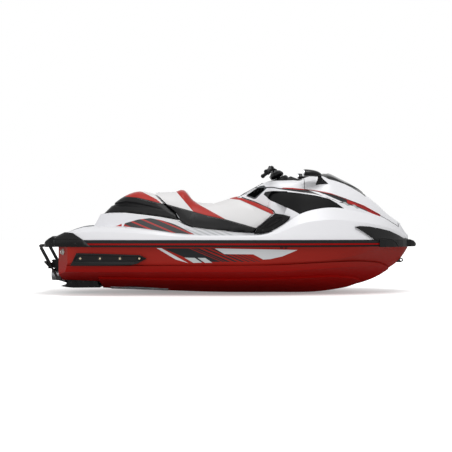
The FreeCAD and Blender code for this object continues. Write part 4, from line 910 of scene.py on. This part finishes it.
# %% Floor mats
RIDGES = 18
RIDGE_LENGTH = 1.06
MAT_WIDTH = 0.216
MAT_X, MAT_Y, MAT_TOP_Z = -0.26, -0.394, 0.1568
step = MAT_WIDTH / RIDGES
first_y = MAT_Y - MAT_WIDTH / 2 + step / 2
starboard_ridges = block("mat_ridges_starboard", (RIDGE_LENGTH, step * 0.55, 0.003), 0.0012,
                         (MAT_X, first_y, MAT_TOP_Z))
row = starboard_ridges.modifiers.new("row", "ARRAY")
row.count = RIDGES
row.use_relative_offset = False
row.use_constant_offset = True
row.constant_offset_displace = (0, step, 0)
only(starboard_ridges)
bpy.ops.object.modifier_apply(modifier=row.name)
port_ridges = port_side(starboard_ridges, "mat_ridges_port")
for piece in (starboard_ridges, port_ridges):
    done(piece, foam.material, "craft")
print("mat ridges laid")

# %% [markdown]
# ## Cockpit
# A screen with its bezel looks at the rider, two switch pods sit on the bar beside the grips, and the
# glovebox has a latch. A rubber boot and a skirt close the gap round the steering column.

# %% Cockpit
FACE = Vector((-0.042, 0, 0.016)).normalized()
FACE_AT = Vector((0.4785, 0, 0.8005))
bezel = block("gauge_bezel", (0.150, 0.034, 0.006), 0.0025)
pick(bezel, lambda middle, normal: normal.z > 0.9)
bpy.ops.mesh.inset(thickness=0.004, depth=0.0)
bpy.ops.mesh.extrude_region_move(TRANSFORM_OT_translate={"value": (0, 0, -0.002)})
only(bezel)
glass = block("gauge_screen", (0.138, 0.0235, 0.0022), 0.0008, (0, 0, 0.0016))
for piece, finish, slot in ((bezel, plastic, "black_plastic"), (glass, screen, "black_gloss")):
    piece.data.transform(Matrix.Rotation(math.radians(90), 4, "Z"))
    done(tilted(piece, FACE_AT + FACE * 0.002, FACE), finish.material, "craft")

COLUMN = Vector((0.400, 0, 0.818))
COLUMN_AXIS = Vector((-0.41945, 0, 0.90778))
boot = turned("stem_boot", [(0.0055, 0.052), (0.008, 0.055), (0.012, 0.050), (0.016, 0.053),
                            (0.020, 0.047), (0.024, 0.049), (0.034, 0.040)], 32)
done(aimed(boot, COLUMN, COLUMN_AXIS), rubber.material, "steering")
skirt = turned("column_skirt", [(-0.060, 0.094), (-0.020, 0.090), (-0.006, 0.084), (0.001, 0.074),
                                (0.0025, 0.066)], 48)
done(aimed(skirt, COLUMN, COLUMN_AXIS), plastic.material, "craft")

pods = []
for side in (-1, 1):
    start, end = Vector((0.3315, side * 0.238, 0.9)), Vector((0.321, side * 0.268, 0.892))
    pods.append(aimed(turned("pod", [(0.0, 0.0200), (0.003, 0.0225), (0.024, 0.0225), (0.027, 0.0200)]),
                      start, end - start))
    knob = turned("knob", [(0.0, 0.0075), (0.006, 0.0075), (0.0075, 0.0060)], 18)
    pods.append(aimed(knob, start.lerp(end, 0.5) + Vector((-0.017, 0, 0.014)), (-0.76, 0, 0.65)))
done(joined("switch_pods", pods), plastic.material, "steering")

lid_skin = surface(nodes["glovebox_lid"])
spot, up = land(lid_skin, (0.085, 0, 1.2), (0, 0, -1))
latch = block("glovebox_latch", (0.030, 0.070, 0.008), 0.0030)
pick(latch, lambda middle, normal: normal.z > 0.9)
bpy.ops.mesh.inset(thickness=0.006, depth=-0.002)
only(latch)
done(tilted(latch, spot + up * 0.001, up), plastic.material, "glovebox")
print("cockpit dressed")

# %% [markdown]
# ## Vents and outlets
# Slats cross the console vents, except where one would reach past the vent's edge. Small outlets and
# drain plugs sit in the hull.

# %% Vents and outlets
SLATS = 5
slats = []
for k in range(SLATS):
    ends = [(0.112 + 0.030 * k, 0.655 + 0.011 * k), (0.130 + 0.030 * k, 0.690 + 0.006 * k)]
    spots = side_spots("console_vents", ends)
    if all(place is not None for place, _ in spots):
        slats.append(tube("slat", [place + normal * 0.003 for place, normal in spots], 0.0028))
        slats.append(port_side(slats[-1], "slat"))
print(len(slats), "slats")
done(joined("vent_slats", slats), plastic.material, "craft")

outlet = turned("outlet", [(-0.004, 0.0110), (0.001, 0.0112), (0.003, 0.0100), (0.003, 0.0062),
                           (-0.003, 0.0055)], 20)
outlets = []
for place, normal in side_spots("hull", [(0.400, 0.184), (0.439, 0.184)]):
    outlets.append(aimed(copied(outlet, "outlet"), place, normal))
    outlets.append(port_side(outlets[-1], "outlet"))
PLUG_Y, PLUG_Z, PLUG_SIZE = 0.36, -0.035, 1.6
hull_skin = surface(nodes["hull"])
for y in (-PLUG_Y, PLUG_Y):
    place, normal = land(hull_skin, (-3.0, y, PLUG_Z), (1, 0, 0))
    plug = copied(outlet, "plug")
    plug.data.transform(Matrix.Scale(PLUG_SIZE, 4))
    outlets.append(aimed(plug, place, normal))
bpy.data.objects.remove(outlet)
done(joined("outlets_and_plugs", outlets), plastic.material, "craft")
print("vents and outlets placed")

# %% [markdown]
# ## Camera
# The photograph is a side view from starboard, taken from about nine metres with a long lens.

# %% Camera
CAMERA_PLACE = (-0.084, -9.0, 0.375)
FOCAL_LENGTH = 76.98
camera = bpy.data.objects.new("camera", bpy.data.cameras.new("camera"))
bpy.context.collection.objects.link(camera)
camera.location = CAMERA_PLACE
camera.rotation_euler = (math.radians(90), 0, 0)
camera.data.lens = FOCAL_LENGTH
camera.data.sensor_width = 36
camera.data.clip_end = 100
bpy.context.scene.camera = camera
print("camera at", tuple(round(v, 3) for v in camera.location))

# %% [markdown]
# ## Studio
# A soft light from above and in front models the shape, weaker ones fill the side and the stern. What
# the camera and reflections see is a plain white room. The floor is white too: far from the craft it
# glows fully for the camera, and near it only a little, so that the shadow shows.

# %% Studio
ROOM_LIGHT = 0.42
FLOOR_Z = -0.2425
NEAR_GLOW = 0.25


def lamp(name, place, aim, size, power):
    """A round area light at a place, aimed at a point."""
    data = bpy.data.lights.new(name, "AREA")
    data.shape = "DISK"
    data.size = size
    data.energy = power
    made = bpy.data.objects.new(name, data)
    bpy.context.collection.objects.link(made)
    made.location = place
    made.rotation_euler = (Vector(aim) - Vector(place)).to_track_quat("-Z", "Y").to_euler()


lamp("key", (1.0, -3.5, 6.5), (0, 0, 0.2), 4.0, 300)
lamp("side fill", (-1.0, -9.5, 1.6), (0, 0, 0.2), 5.0, 172)
lamp("stern fill", (-7.0, -3.0, 2.0), (-0.8, 0, 0.2), 3.0, 60)

world = bpy.data.worlds.new("white room")
bpy.context.scene.world = world
world.use_nodes = True
tree = world.node_tree
path = tree.nodes.new("ShaderNodeLightPath")
seen = tree.nodes.new("ShaderNodeMath")
seen.operation = "MAXIMUM"
tree.links.new(path.outputs["Is Camera Ray"], seen.inputs[0])
tree.links.new(path.outputs["Is Glossy Ray"], seen.inputs[1])
level = tree.nodes.new("ShaderNodeMath")
level.operation = "MULTIPLY_ADD"
level.inputs[1].default_value = 1 - ROOM_LIGHT
level.inputs[2].default_value = ROOM_LIGHT
tree.links.new(seen.outputs[0], level.inputs[0])
background = tree.nodes["Background"]
background.inputs["Color"].default_value = (1, 1, 1, 1)
tree.links.new(level.outputs[0], background.inputs["Strength"])

floor = begin("floor", bpy.ops.mesh.primitive_plane_add, size=60, location=(0, 0, FLOOR_Z))
floor_paint = Finish("floor", (0.8, 0.8, 0.8, 1), rough=1.0, gloss=0.0, glow=1.0)
ray = floor_paint.node("ShaderNodeLightPath")
across = floor_paint.x * floor_paint.x / 5.0 + floor_paint.y * floor_paint.y
far = (across - 0.9).inside(1.6)
glow = ray * (far * (1 - NEAR_GLOW) + NEAR_GLOW)
floor_paint.set("Emission Color", floor_paint.mix(glow, (0, 0, 0, 1), (1, 1, 1, 1)))
floor_paint.set("Base Color", floor_paint.mix(ray, (0.62, 0.62, 0.62, 1), (0.85, 0.85, 0.85, 1)))
floor.data.materials.append(floor_paint.material)

bpy.context.scene.view_settings.view_transform = "Standard"
